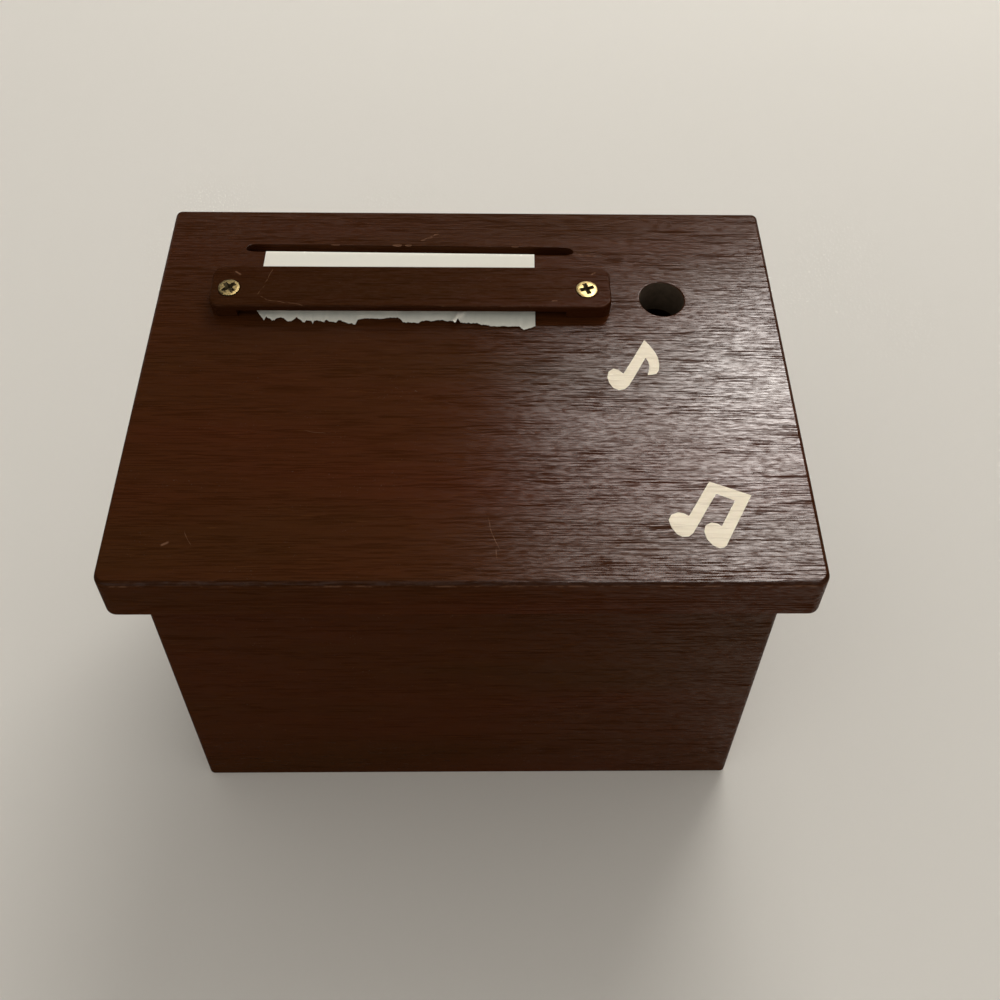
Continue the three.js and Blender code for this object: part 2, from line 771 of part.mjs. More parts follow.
function buildLid() {
  piece(lidGroup, "lid_board", lidBoard(), lacquer);
  piece(lidGroup, "tear_bar", tearBar(), lacquer);
  barScrews.forEach(({ name, x, v }) => {
    const placed = screw(barScrew).translate(x, v, lidThickness + barThickness + barScrewProud);
    piece(lidGroup, `tear_bar_screw_${name}`, placed, brass);
  });
  piece(lidGroup, "paper_strip", paperStrip(), paper);
}

// ---------------------------------------------------------------------------------------------------
// Paper roll, its spindle and the cheeks that carry it
// ---------------------------------------------------------------------------------------------------

function cheek(x0, x1) {
  const top = spindleZ + cheekRise;
  const rear = caseDepth - backWall;
  const footFront = Math.max(cheekFrontY, movementY + bedRearEdge + fitGap); // behind the bedplate
  const footTop = floorTop + bedThickness + bedPadRise + fitGap;
  const outline = rounded(
    [
      [footFront, floorTop],
      [rear, floorTop],
      [rear, top],
      [cheekFrontY, top],
      [cheekFrontY, footTop],
      [footFront, footTop],
    ],
    [0, 0, 0, cheekCornerRound, 0, 0],
  );
  const notch = spindleRadius + shaftGap;
  const opening = block(
    [x0 - 1, spindleY - notch, spindleZ],
    [x1 + 1, spindleY + notch, top + 1],
  );
  const seat = rod("x", notch, x1 - x0 + 2, [x0 - 1, spindleY, spindleZ], 24);
  return cut(alongX(outline, x0, x1, 6), opening, seat);
}

function buildRoll() {
  const wallLeft = -caseWidth / 2 + sideWall;
  piece(caseGroup, "roll_cheek_left", cheek(wallLeft, cheekLeftX), bareWood);
  piece(caseGroup, "roll_cheek_right", cheek(cheekRightX, cheekRightX + cheekThickness), bareWood);

  const spindleLeft = wallLeft + fitGap;
  const spindleLength = cheekRightX + cheekThickness - spindleLeft;
  const spindle = rod("x", spindleRadius, spindleLength, [spindleLeft, spindleY, spindleZ], 24);
  piece(caseGroup, "roll_spindle", spindle, bareWood);

  const left = paperCentreX - paperWidth / 2;
  const right = paperCentreX + paperWidth / 2;
  const placed = (geometry) => geometry.translate(0, spindleY, spindleZ);
  const core = ringX(spindleRadius + fitGap, rollInner, left, right, 32);
  piece(caseGroup, "roll_core", placed(core), card);
  const roll = ringX(rollInner + shaftGap, rollRadius, left, right, 48);
  piece(caseGroup, "paper_roll", placed(roll), paper);
  piece(caseGroup, "paper_web", paperWeb(), paper);
}

// The paper leaves the rear of the roll and rises to the slot.
function paperWeb() {
  const slotEnd = new THREE.Vector3(0, upLid(slotFromRear), -2 * fitGap).applyMatrix4(lidGroup.matrix);
  const startY = spindleY + rollRadius + fitGap + paperThickness / 2;
  const start = [startY, spindleZ];
  const middle = [(2 * startY + slotEnd.y) / 3 + 0.1, (spindleZ + 2 * slotEnd.z) / 3];
  return sheetAlong([start, middle, [slotEnd.y, slotEnd.z]], paperWidth);
}

// ---------------------------------------------------------------------------------------------------
// Music movement
// ---------------------------------------------------------------------------------------------------

const holdingPlaces = [
  [bedLeftEdge + bedPadInset, bedRearEdge - bedPadInset],
  [bedRightEdge - bedPadInset, bedFrontEdge + bedPadInset],
  [0, bedFrontEdge + bedPadInset],
];

function bedplate() {
  const plan = rectangle([bedLeftEdge, bedFrontEdge], [bedRightEdge, bedRearEdge], bedCornerRound);
  const plate = alongZ(plan, 0, bedThickness);
  const pads = holdingPlaces.map(([x, y]) =>
    rod("z", bedPadRadius, bedPadRise + 0.5, [x, y, bedThickness - 0.5], 20, bedPadRadius * 0.88),
  );
  const combScrewTop = combTopZ + combScrew.headHeight;
  const ledgeTop = combTopZ - combThickness;
  const ledgeRear = toothRoom + combLength;
  const ledgeFront = ledgeRear - combLedgeDepth;
  const ledge = block([-combSide, ledgeFront, bedThickness - 1], [combSide, ledgeRear, ledgeTop]);
  const lugShape = rounded(
    [
      [-(lugWidth + lugTaper) / 2, bedThickness - 1],
      [(lugWidth + lugTaper) / 2, bedThickness - 1],
      [lugWidth / 2, axisHeight + lugRise],
      [-lugWidth / 2, axisHeight + lugRise],
    ],
    [0, 0, lugRound, lugRound],
  );
  const lug = alongX(lugShape, lugLeft, lugRight);
  const window = alongZ(
    rectangle(
      [-bedWindowHalf, pinTip + bedWindowMargin],
      [bedWindowHalf, ledgeRear - combLedgeDepth - bedWindowMargin],
      bedWindowRound,
    ),
    -1,
    bedThickness + 1,
  );
  const holes = [
    rod("x", arborRadius + shaftGap, 6, [lugLeft - 2, 0, axisHeight], 16),
    rod("z", windingArborRadius + shaftGap, bedThickness + 2, [barrelX, 0, -1], 20),
    ...holdingPlaces.map(([x, y]) =>
      rod("z", holdingScrew.shank + screwGap, bedThickness + bedPadRise + 2, [x, y, -1], 12),
    ),
    ...combScrewPlaces.map(([x, y]) => screwHole(combScrew).translate(x, y, combScrewTop)),
    screwHole(smallScrew).translate(...frameScrewPlace),
  ];
  return cut(join(plate, ledge, lug, ...pads), window, ...holes);
}

const drumOuter = barrelRadius - barrelRim;
const drumInner = drumOuter - barrelWall;
const crownRootZ = crownPitchZ - dedendum * crownModule;
const springLow = bedThickness + barrelLift + barrelCoverThickness + fitGap;
const springHigh = crownRootZ - barrelTop - fitGap;

// Spring barrel: a drum open below, with a crown wheel cut on its top rim.
function barrel() {
  const low = bedThickness + barrelLift;
  const rim = crownRootZ;
  const hole = topPivot + shaftGap;
  const profile = [
    [hole, rim - barrelTop],
    [drumInner, rim - barrelTop],
    [drumInner, low],
    [drumOuter, low],
    [drumOuter, rim - barrelTop],
    [barrelRadius, rim - barrelTop + (barrelRadius - drumOuter) / 2],
    [barrelRadius, rim],
    [hole, rim],
    [hole, rim - barrelTop],
  ];
  const drum = turned(profile, crownTeeth);
  const teeth = [];
  for (let i = 0; i < crownTeeth; i += 1) {
    teeth.push(crownTooth(rim).rotateZ((2 * Math.PI * (i + 0.5)) / crownTeeth));
  }
  return join(drum, ...teeth).translate(barrelX, 0, 0);
}

// One crown tooth on +X: a wedge across the rim that narrows upwards.
function crownTooth(rim) {
  const half = (Math.PI * crownModule) / 4 - toothPlay / 2;
  const top = crownPitchZ + addendum * crownModule;
  const shape = new THREE.Shape([
    new THREE.Vector2(-half * toothFoot, rim - barrelTop / 2),
    new THREE.Vector2(half * toothFoot, rim - barrelTop / 2),
    new THREE.Vector2(half * toothFoot, rim),
    new THREE.Vector2(half * toothTip, top),
    new THREE.Vector2(-half * toothTip, top),
    new THREE.Vector2(-half * toothFoot, rim),
  ]);
  return alongX(shape, crownRadius - crownFace / 2, crownRadius + crownFace / 2 - shaftGap / 4);
}

function mainspring() {
  const inner = arborHubRadius + fitGap;
  const outer = drumInner - fitGap - springStrip;
  const steps = springTurns * 14;
  const coil = (offset) =>
    Array.from({ length: steps + 1 }, (_, i) => {
      const angle = (2 * Math.PI * springTurns * i) / steps;
      const radius = inner + ((outer - inner) * i) / steps + offset;
      return new THREE.Vector2(radius * Math.cos(angle), radius * Math.sin(angle));
    });
  const shape = new THREE.Shape([...coil(0), ...coil(springStrip).reverse()]);
  return alongZ(shape, springLow, springHigh).translate(barrelX, 0, 0);
}

function barrelCover() {
  const low = bedThickness + barrelLift;
  const shape = disc(drumInner - fitGap, 40);
  shape.holes.push(disc(windingArborRadius + shaftGap, 20));
  return alongZ(shape, low, low + barrelCoverThickness).translate(barrelX, 0, 0);
}

// Winding arbor: threaded foot for the key, hub for the spring, pivot in the barrel's top.
function windingArbor() {
  const foot = keyHubTop - keyHubDepth + fitGap;
  const profile = [
    [0, foot],
    [windingArborRadius - arborChamfer, foot],
    [windingArborRadius, foot + arborChamfer],
    [windingArborRadius, springLow],
    [arborHubRadius, springLow],
    [arborHubRadius, springHigh],
    [topPivot, springHigh],
    [topPivot, crownRootZ],
    [0, crownRootZ],
  ];
  return turned(profile, 20).translate(barrelX, 0, 0);
}

const keyHubTop = -baseThickness - keyBoardGap; // from the bottom board's top

// Two loops on a hub, cut from sheet and brazed to it.
function windingKey() {
  const wingTop = keyHubTop - keyShoulder;
  const wingLow = keyFloorGap - floorTop;
  const middle = (wingTop + wingLow) / 2;
  const loop = Math.min(keyHeight, wingTop - wingLow) / 2;
  const reach = keySpan / 2 - loop;
  const wing = rounded(
    [
      [-keySpan / 2, middle - loop],
      [keySpan / 2, middle - loop],
      [keySpan / 2, middle + loop],
      [-keySpan / 2, middle + loop],
    ],
    loop,
  );
  wing.holes.push(...[-reach, reach].map((x) => disc(loop * keyLoopHole, 16, x, middle)));
  const blade = alongY(wing, -keyThickness / 2, keyThickness / 2, 6);
  const hubLow = wingLow + keyHubEnd;
  const hub = rod("z", keyHubRadius, keyHubTop - hubLow, [0, 0, hubLow], 20);
  const socketPlace = [0, 0, keyHubTop - keyHubDepth];
  const socket = rod("z", windingArborRadius + shaftGap, keyHubDepth + 1, socketPlace, 20);
  return cut(join(blade, hub), socket).translate(barrelX, 0, 0);
}

// The tune: which steps round the cylinder carry a pin on a tooth's track.
function tuneSounds(track, step) {
  const melody = (step * 7 + Math.floor(step / 5) * 3) % combTeeth;
  const harmony = (melody + 5 + (step % 3)) % combTeeth;
  const bass = step % 5 === 0 ? (step / 5) % 3 : -1;
  return track === melody || (step % 2 === 0 && track === harmony) || track === bass;
}

function cylinderDrum() {
  const bore = arborRadius + shaftGap;
  const drum = ringX(bore, cylinderRadius, -cylinderLength / 2, cylinderLength / 2, 40);
  const pitch = (2 * combSide) / combTeeth;
  const pins = [];
  for (let step = 0; step < tuneSteps; step += 1) {
    for (let track = 0; track < combTeeth; track += 1) {
      if (!tuneSounds(track, step)) continue;
      const x = -combSide + (track + 0.5) * pitch;
      const pin = rod("y", pinRadius, pinProud + pinSunk, [x, cylinderRadius - pinSunk, 0], 5);
      pins.push(pin.rotateX((2 * Math.PI * (step + 0.5)) / tuneSteps));
    }
  }
  return join(drum, ...pins).translate(0, 0, axisHeight);
}

// The lead weight under a low tooth, between its two sides.
function combWeight(left, right, index) {
  const front = toothRoom + combWeightFromTip;
  const length = combWeightLength - combWeightStep * index;
  const low = combTopZ - combThickness + (combWeightStep * index) / 2;
  const high = combTopZ - combToothThickness / 2;
  return block([left + combWeightInset, front, low], [right - combWeightInset, front + length, high]);
}

function comb() {
  const pitch = (2 * combSide) / combTeeth;
  const tip = toothRoom;
  const rear = toothRoom + combLength;
  const root = (share) => tip + combLongTooth + (combShortTooth - combLongTooth) * share;
  const base = rounded([[-combSide, root(0)], [combSide, root(1)], [combSide, rear], [-combSide, rear]], 0);
  const teeth = [];
  for (let i = 0; i < combTeeth; i += 1) {
    const x = -combSide + i * pitch;
    const left = x + combGap / 2;
    const right = x + pitch - combGap / 2;
    const taper = (right - left) * combTaper;
    const shape = new THREE.Shape([
      new THREE.Vector2(left, root(1) + combLongTooth),
      new THREE.Vector2(left + taper, tip),
      new THREE.Vector2(right - taper, tip),
      new THREE.Vector2(right, root(1) + combLongTooth),
    ]);
    teeth.push(alongZ(shape, combTopZ - combToothThickness, combTopZ));
    if (i < combWeightedTeeth) teeth.push(combWeight(left, right, i));
  }
  const holes = combScrewPlaces.map(([x, y]) =>
    rod("z", combScrew.shank + screwGap, combThickness + 2, [x, y, combTopZ - combThickness - 1], 12),
  );
  return cut(join(alongZ(base, combTopZ - combThickness, combTopZ), ...teeth), ...holes);
}

const combScrewPlaces = [-combScrewPitch / 2, combScrewPitch / 2].map((x) => [
  x,
  toothRoom + combLength - combLedgeDepth / 2,
]);

// Governor frame: two plates on one foot, bridged over the worm.
const frameTop = axisHeight + frameRise;
const wormTop = frameTop + frameSheet + fanHeight + shaftEnd;
const frameScrewPlace = [
  plateRight + frameSheet + frameEarScrew,
  governorY,
  bedThickness + frameSheet + smallScrew.headHeight,
];

function governorFrame() {
  const right = plateRight + frameSheet;
  const low = bedThickness;
  const rear = wormY + frameRear;
  const front = -frameFront;
  const outline = rounded(
    [[front, low], [rear, low], [rear, frameTop + frameSheet], [front / 2, frameTop + frameSheet]],
    [0, 0, 0.8, 4],
  );
  const inner = alongX(outline, plateLeft, plateLeft + frameSheet, 5);
  const outer = alongX(outline, plateRight, right, 5);
  const [lapLeft, lapRight] = [plateLeft + frameLap, right - frameLap];
  const foot = block([lapLeft, front, low], [lapRight, rear, low + frameSheet]);
  const earPlan = rectangle(
    [right - frameSheet, governorY - frameEarHalf],
    [right + frameEar, governorY + frameEarHalf],
    [0, 2, 2, 0],
  );
  const ear = alongZ(earPlan, low, low + frameSheet);
  const bridge = block([lapLeft, rear - frameBridge, frameTop], [lapRight, rear, frameTop + frameSheet]);
  const span = right - plateLeft + 2;
  const bearings = [
    rod("x", arborRadius + shaftGap, span, [plateLeft - 1, 0, axisHeight], 16),
    rod("x", governorArborRadius + shaftGap, span, [plateLeft - 1, governorY, axisHeight], 12),
    rod("z", governorArborRadius + shaftGap, wormTop, [wormX, wormY, low + fitGap], 12),
  ];
  const screwPlace = screwHole(smallScrew).translate(...frameScrewPlace);
  return cut(join(inner, outer, foot, ear, bridge), ...bearings, screwPlace);
}

// Worm wheel and pinion on one arbor, along X.
function governorWheel() {
  const down = -Math.PI + Math.PI / governorPinionTeeth; // a gap faces the cylinder's wheel
  const pinionShape = gearShape(governorPinionTeeth, wheelModule, 0, down);
  const pinion = alongX(pinionShape, wheelX - frameLap, wheelX + wheelWidth + frameLap);
  const wheel = alongX(gearShape(wormWheelTeeth, wormModule, 0), wormWheelX, wormWheelX + wormWheelWidth);
  const right = plateRight + frameSheet;
  const arbor = rod("x", governorArborRadius, right - plateLeft, [plateLeft, 0, 0], 12);
  return join(pinion, wheel, arbor).translate(0, governorY, axisHeight);
}

function flyShaft() {
  const pivot = governorArborRadius;
  const threadLow = axisHeight - wormWheelRadius;
  const threadHigh = frameTop - fitGap;
  const profile = [
    [0, bedThickness + 2 * fitGap],
    [pivot, bedThickness + 2 * fitGap],
    [pivot, threadLow],
    [wormCoreRadius, threadLow],
    [wormCoreRadius, threadHigh],
    [pivot, threadHigh],
    [pivot, wormTop],
    [0, wormTop],
  ];
  return turned(profile, 16).translate(wormX, wormY, 0);
}

// Two vanes on a sleeve, pressed on the shaft above the bridge.
function flyFan() {
  const low = frameTop + frameSheet + fitGap;
  const bore = governorArborRadius + shaftGap;
  const vaneShape = rectangle([-fanSpan / 2, low], [fanSpan / 2, low + fanHeight], fanCornerRound);
  const vanes = alongY(vaneShape, -fanThickness / 2, fanThickness / 2, 3).rotateZ(Math.PI / 2);
  const sleeve = rod("z", bore + fanSleeve, fanHeight, [0, 0, low], 16);
  const hole = rod("z", bore, fanHeight + 2, [0, 0, low - 1], 16);
  return cut(join(vanes, sleeve), hole).translate(wormX, wormY, 0);
}

function buildMovement() {
  piece(movement, "bedplate", bedplate(), casting);
  piece(movement, "spring_barrel", barrel(), brass);
  piece(movement, "barrel_cover", barrelCover(), brass);
  piece(movement, "mainspring", mainspring(), steel);
  piece(movement, "winding_arbor", windingArbor(), steel);
  piece(movement, "winding_key", windingKey(), brass);

  piece(movement, "pinned_cylinder", cylinderDrum(), brass);
  const arborLeft = pinionRight - pinionWidth - arborEnd;
  const arborLength = plateRight + frameSheet - arborLeft;
  const arbor = rod("x", arborRadius, arborLength, [arborLeft, 0, axisHeight], 16);
  piece(movement, "cylinder_arbor", arbor, steel);
  const bore = arborRadius + shaftGap;
  const pinionShape = gearShape(pinionTeeth, crownModule, bore, -Math.PI / 2);
  const pinion = alongX(pinionShape, pinionRight - pinionWidth, pinionRight);
  piece(movement, "cylinder_pinion", pinion.translate(0, 0, axisHeight), steel);
  const wheel = alongX(gearShape(wheelTeeth, wheelModule, bore), wheelX, wheelX + wheelWidth);
  piece(movement, "cylinder_wheel", wheel.translate(0, 0, axisHeight), brass);

  piece(movement, "comb", comb(), steel);
  combScrewPlaces.forEach(([x, y], i) => {
    const placed = screw(combScrew).translate(x, y, combTopZ + combScrew.headHeight);
    piece(movement, `comb_screw_${i + 1}`, placed, steel);
  });
  piece(movement, "governor_frame", governorFrame(), brass);
  piece(movement, "governor_frame_screw", screw(smallScrew).translate(...frameScrewPlace), steel);
  piece(movement, "governor_wheel", governorWheel(), brass);
  piece(movement, "fly_shaft", flyShaft(), steel);
  piece(movement, "fly_fan", flyFan(), plastic);

  holdingPlaces.forEach(([x, y], i) => {
    const headLow = -baseThickness - holdingScrew.headHeight;
    const placed = screw(holdingScrew).rotateX(Math.PI).translate(x, y, headLow);
    piece(movement, `movement_screw_${i + 1}`, placed, steel);
  });
}

// ---------------------------------------------------------------------------------------------------
// Stop lever: the pencil's weight lifts a wire into the path of the fan
// ---------------------------------------------------------------------------------------------------

const leverPivotZ = floorTop + leverPivotHeight;
const bracketScrewY = leverPivotY + bracketScrewFromPivot;
const bridgeTopZ = floorTop + frameTop + frameSheet;
const wireZ = bridgeTopZ - wireRadius - fitGap;
const wireTipX = movementX + wormX + fanSpan / 2 - wireOverFan;
const leverSide = leverPivotX - leverThickness / 2;

function leverBlank() {
  const half = leverArm / 2;
  const padTop = leverPivotZ + half;
  // Side view of the two arms: level at the rear, rising to the wire at the front.
  const arms = rounded(
    [
      [leverPivotY - leverBend, leverPivotZ - half],
      [leverPadY + leverPadRear, leverPivotZ - half],
      [leverPadY + leverPadRear, padTop],
      [leverPivotY + leverBend, padTop],
      [leverFrontY + leverTip, wireZ + leverTip],
      [leverFrontY - leverTip, wireZ + leverTip],
      [leverFrontY - leverTip, wireZ - leverTip],
    ],
    [leverBend, 0, 0, leverBend, leverTip / 2, leverTip / 2, leverTip / 2],
  );
  const blade = alongX(arms, leverSide, leverSide + leverThickness);
  const hubPlace = [leverSide - leverHubProud, leverPivotY, leverPivotZ];
  const hub = rod("x", leverHubRadius, leverThickness + 2 * leverHubProud, hubPlace, 20);
  const padPlan = rectangle(
    [leverSide, leverPadY - leverPad / 2],
    [holeX + leverPad / 2, leverPadY + leverPadRear],
    [0, 3, 3, 0],
  );
  const pad = alongZ(padPlan, padTop - leverPadSheet, padTop);
  const wireLength = leverSide - wireTipX + leverThickness / 2;
  const wire = rod("x", wireRadius, wireLength, [wireTipX, leverFrontY, wireZ], 8);
  const borePlace = [leverSide - leverThickness, leverPivotY, leverPivotZ];
  const bore = rod("x", leverPinRadius + shaftGap, 3 * leverThickness, borePlace, 16);
  return cut(join(blade, hub, pad, wire), bore);
}

const earGap = leverThickness / 2 + leverHubProud + fitGap; // from the lever's middle to each ear

function leverBracket() {
  const earShape = rounded(
    [
      [leverPivotY - bracketFoot, floorTop],
      [leverPivotY + bracketFoot, floorTop],
      [leverPivotY + leverHubRadius, leverPivotZ + leverHubRadius],
      [leverPivotY - leverHubRadius, leverPivotZ + leverHubRadius],
    ],
    [0, 0, 2.4, 2.4],
  );
  const left = leverPivotX - earGap - bracketSheet;
  const right = leverPivotX + earGap + bracketSheet;
  const ears = [
    alongX(earShape, left, left + bracketSheet),
    alongX(earShape, right - bracketSheet, right),
  ];
  const front = leverPivotY - bracketFront;
  const base = block([left, front, floorTop], [right, bracketScrewY + bracketRear, floorTop + bracketSheet]);
  const stopTop = leverUnderside(front + bracketSheet / 2) - fitGap;
  const stop = block([left, front, floorTop], [right, front + bracketSheet, stopTop]);
  const pinPlace = [left - 1, leverPivotY, leverPivotZ];
  const pinHole = rod("x", leverPinRadius + screwGap, right - left + 2, pinPlace, 16);
  const screwPlace = [leverPivotX, bracketScrewY, floorTop - 1];
  const screwBore = rod("z", bracketScrew.shank + screwGap, bracketSheet + 2, screwPlace, 12);
  return cut(join(...ears, base, stop), pinHole, screwBore);
}

// The front arm's lower edge, on the straight run between its foot and the wire.
function leverUnderside(y) {
  const [y0, z0] = [leverPivotY - leverBend, leverPivotZ - leverArm / 2];
  const [y1, z1] = [leverFrontY - leverTip, wireZ - leverTip];
  return z0 + ((y - y0) * (z1 - z0)) / (y1 - y0);
}

// A coil spring that stands on the bottom board and carries the rear arm.
function leverSpring() {
  const low = floorTop + leverSpringWire + leverSpringLift;
  const high = leverPivotZ - leverArm / 2 - leverSpringWire - fitGap;
  class Coil extends THREE.Curve {
    getPoint(t, target = new THREE.Vector3()) {
      const angle = 2 * Math.PI * leverSpringTurns * t;
      const radius = leverSpringRadius - leverSpringWire;
      return target.set(radius * Math.cos(angle), radius * Math.sin(angle), low + (high - low) * t);
    }
  }
  const options = { steps: leverSpringTurns * 10, extrudePath: new Coil(), bevelEnabled: false };
  const spring = new THREE.ExtrudeGeometry(disc(leverSpringWire, 5), options);
  return spring.translate(leverPivotX, leverPadY - leverPad / 2 - leverSpringInset, 0);
}

function buildStopLever() {
  piece(caseGroup, "stop_lever", leverBlank(), brass);
  piece(caseGroup, "lever_bracket", leverBracket(), steel);
  const pinLength = 2 * (earGap + 1.5 * bracketSheet);
  const pinPlace = [leverPivotX - pinLength / 2, leverPivotY, leverPivotZ];
  const pin = rod("x", leverPinRadius, pinLength, pinPlace, 16);
  piece(caseGroup, "lever_pivot_pin", pin, steel);
  piece(caseGroup, "lever_spring", leverSpring(), steel);
  const headTop = floorTop + bracketSheet + bracketScrew.headHeight;
  const bracketFixing = screw(bracketScrew).translate(leverPivotX, bracketScrewY, headTop);
  piece(caseGroup, "lever_bracket_screw", bracketFixing, steel);
}

// ---------------------------------------------------------------------------------------------------

buildCase();
buildLid();
buildHinges();
buildRoll();
buildMovement();
buildStopLever();

export default part;
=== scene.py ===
"""A sloping wooden box that dispenses memo paper, holds a pencil and plays a tune.

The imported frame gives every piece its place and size. The boards, the paper, the screws and the prints
are modelled here, the machined pieces of the movement get their edges broken and their finishes, and all
of them ride on the frame's bodies.
"""

import json
import math
import random
from contextlib import contextmanager

import bmesh
import bpy
from bpy.props import FloatProperty, FloatVectorProperty, PointerProperty
from bpy.types import Operator, Panel, PropertyGroup
from mathutils import Matrix, Vector

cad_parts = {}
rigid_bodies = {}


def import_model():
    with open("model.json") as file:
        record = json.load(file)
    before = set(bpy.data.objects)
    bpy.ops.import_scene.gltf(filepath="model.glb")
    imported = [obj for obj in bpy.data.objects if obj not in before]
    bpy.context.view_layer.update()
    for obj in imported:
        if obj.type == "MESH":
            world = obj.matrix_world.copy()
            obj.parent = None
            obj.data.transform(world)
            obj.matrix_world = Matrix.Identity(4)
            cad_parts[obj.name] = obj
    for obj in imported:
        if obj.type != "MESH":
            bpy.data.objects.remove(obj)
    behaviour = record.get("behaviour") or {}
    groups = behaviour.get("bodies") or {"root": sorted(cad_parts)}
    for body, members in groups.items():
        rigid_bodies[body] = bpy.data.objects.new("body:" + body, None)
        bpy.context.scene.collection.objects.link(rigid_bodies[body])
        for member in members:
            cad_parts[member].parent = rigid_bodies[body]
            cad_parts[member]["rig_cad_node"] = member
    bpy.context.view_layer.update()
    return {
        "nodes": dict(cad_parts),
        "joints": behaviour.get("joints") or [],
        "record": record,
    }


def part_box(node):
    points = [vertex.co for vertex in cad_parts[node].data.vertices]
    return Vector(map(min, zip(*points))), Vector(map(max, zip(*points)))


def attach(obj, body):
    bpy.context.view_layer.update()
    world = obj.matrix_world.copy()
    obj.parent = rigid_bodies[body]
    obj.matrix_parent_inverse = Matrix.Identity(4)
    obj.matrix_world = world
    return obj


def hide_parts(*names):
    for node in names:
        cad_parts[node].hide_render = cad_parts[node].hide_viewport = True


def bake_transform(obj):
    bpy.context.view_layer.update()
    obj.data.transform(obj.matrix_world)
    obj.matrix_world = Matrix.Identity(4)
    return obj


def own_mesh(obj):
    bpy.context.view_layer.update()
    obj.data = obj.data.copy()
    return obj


bl_info = {
    "name": "Memo paper box with music movement",
    "version": (1, 0, 0),
    "blender": (4, 5, 0),
    "location": "View3D > Sidebar > Memo Box",
    "description": "Models a sloping wooden memo box on its packed frame",
    "category": "Object",
}

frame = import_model()
MM = 0.001
SLIGHT = 0.001 * MM  # two places nearer than this are the same


# ---- Places taken from the frame ----

JOINTS = {joint["name"]: joint for joint in frame["joints"]}
BODY_OF = {node: body for body, nodes in frame["record"]["behaviour"]["bodies"].items() for node in nodes}
SLOT_OF = {row["node"]: row["material_slot"] for row in frame["record"]["subparts"]}

FRONT_LOW, FRONT_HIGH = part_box("front_panel")
_, BACK_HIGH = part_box("back_panel")
_, SIDE_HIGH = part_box("left_side")
LID_LOW, LID_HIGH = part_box("lid_board")
SLOPE = math.atan2(SIDE_HIGH.z - FRONT_HIGH.z, SIDE_HIGH.y - FRONT_HIGH.y)
FRONT_TOP = FRONT_HIGH.z - (FRONT_HIGH.y - FRONT_LOW.y) * math.tan(SLOPE)
JOINT_GAP = 0.3 * MM
LID_THICKNESS = 8 * MM
BAR_TOP = LID_THICKNESS + 3.2 * MM

# The lid's own coordinates: X across, Y up the slope from the case's front, Z off the board's underside
LID_ORIGIN = Vector((0, FRONT_LOW.y, FRONT_TOP + JOINT_GAP / math.cos(SLOPE)))
LID_FRAME = Matrix.Translation(LID_ORIGIN) @ Matrix.Rotation(SLOPE, 4, "X")
FRONT_EDGE = (LID_LOW.y - FRONT_LOW.y + LID_THICKNESS * math.sin(SLOPE)) / math.cos(SLOPE)

HINGE_PIN = LID_FRAME.inverted() @ Vector(JOINTS["lid_hinge"]["pos_m"])
ROLL_AXIS = Vector(JOINTS["roll_spin"]["pos_m"])
FLY_AXIS = Vector(JOINTS["fly_spin"]["pos_m"])
CYLINDER_AXIS = Vector(JOINTS["cylinder_spin"]["pos_m"])


def up_lid(distance):
    """A distance in millimetres from the lid's top front edge, as a place up the slope."""
    return FRONT_EDGE + distance * MM


def held(value, low=0.0, high=1.0):
    """A number held between two others."""
    return min(high, max(low, value))


# ---- Sizes and colours that a user may change ----


def number(name, description, value, **settings):
    """A property that holds a number."""
    return FloatProperty(name=name, description=description, default=value, min=0, **settings)


def length(name, description, millimetres):
    """A property that holds a length."""
    return number(name, description, millimetres * MM, unit="LENGTH")


def tint(name, description, tone):
    """A property that holds a colour."""
    settings = {"default": tone, "size": 3, "min": 0, "max": 1, "subtype": "COLOR"}
    return FloatVectorProperty(name=name, description=description, **settings)


class MEMOBOX_PG_boards(PropertyGroup):
    """Sizes of the boards' worked edges."""

    lid_top_round: length("Lid top rounding", "Radius along the lid's upper edges", 0.9)
    lid_corner_round: length("Lid corner rounding", "Radius of the lid's front corners, seen from above", 2.4)
    lid_rear_round: length("Lid rear corner rounding", "Radius of the lid's rear corners", 1.3)
    lid_bottom_round: length("Lid bottom rounding", "Radius along the lid's lower edges", 0.7)
    case_corner_round: length("Case corner rounding", "Radius of the case's upright corners", 1.2)
    seam: length("Seam", "Broken edge where two boards meet", 0.18)
    slot_edge: length("Slot edge", "Broken edge round the paper slot", 0.3)
    hole_diameter: length("Pencil hole", "Diameter of the pencil hole", 9.2)
    hole_edge: length("Hole edge", "Rounding round the pencil hole", 0.25)
    bar_edge_round: length("Bar edge rounding", "Radius along the tear bar's upper edges", 0.5)
    bar_corner_round: length("Bar corner rounding", "Radius of the tear bar's corners, seen from above", 2.4)


class MEMOBOX_PG_paper(PropertyGroup):
    """Sizes of the paper."""

    width: length("Paper width", "Width of the paper", 56.7)
    thickness: length("Paper thickness", "Thickness of one sheet", 0.11)
    lift: length("Torn end lift", "How far the torn end's left corner stands off the lid", 0.5)


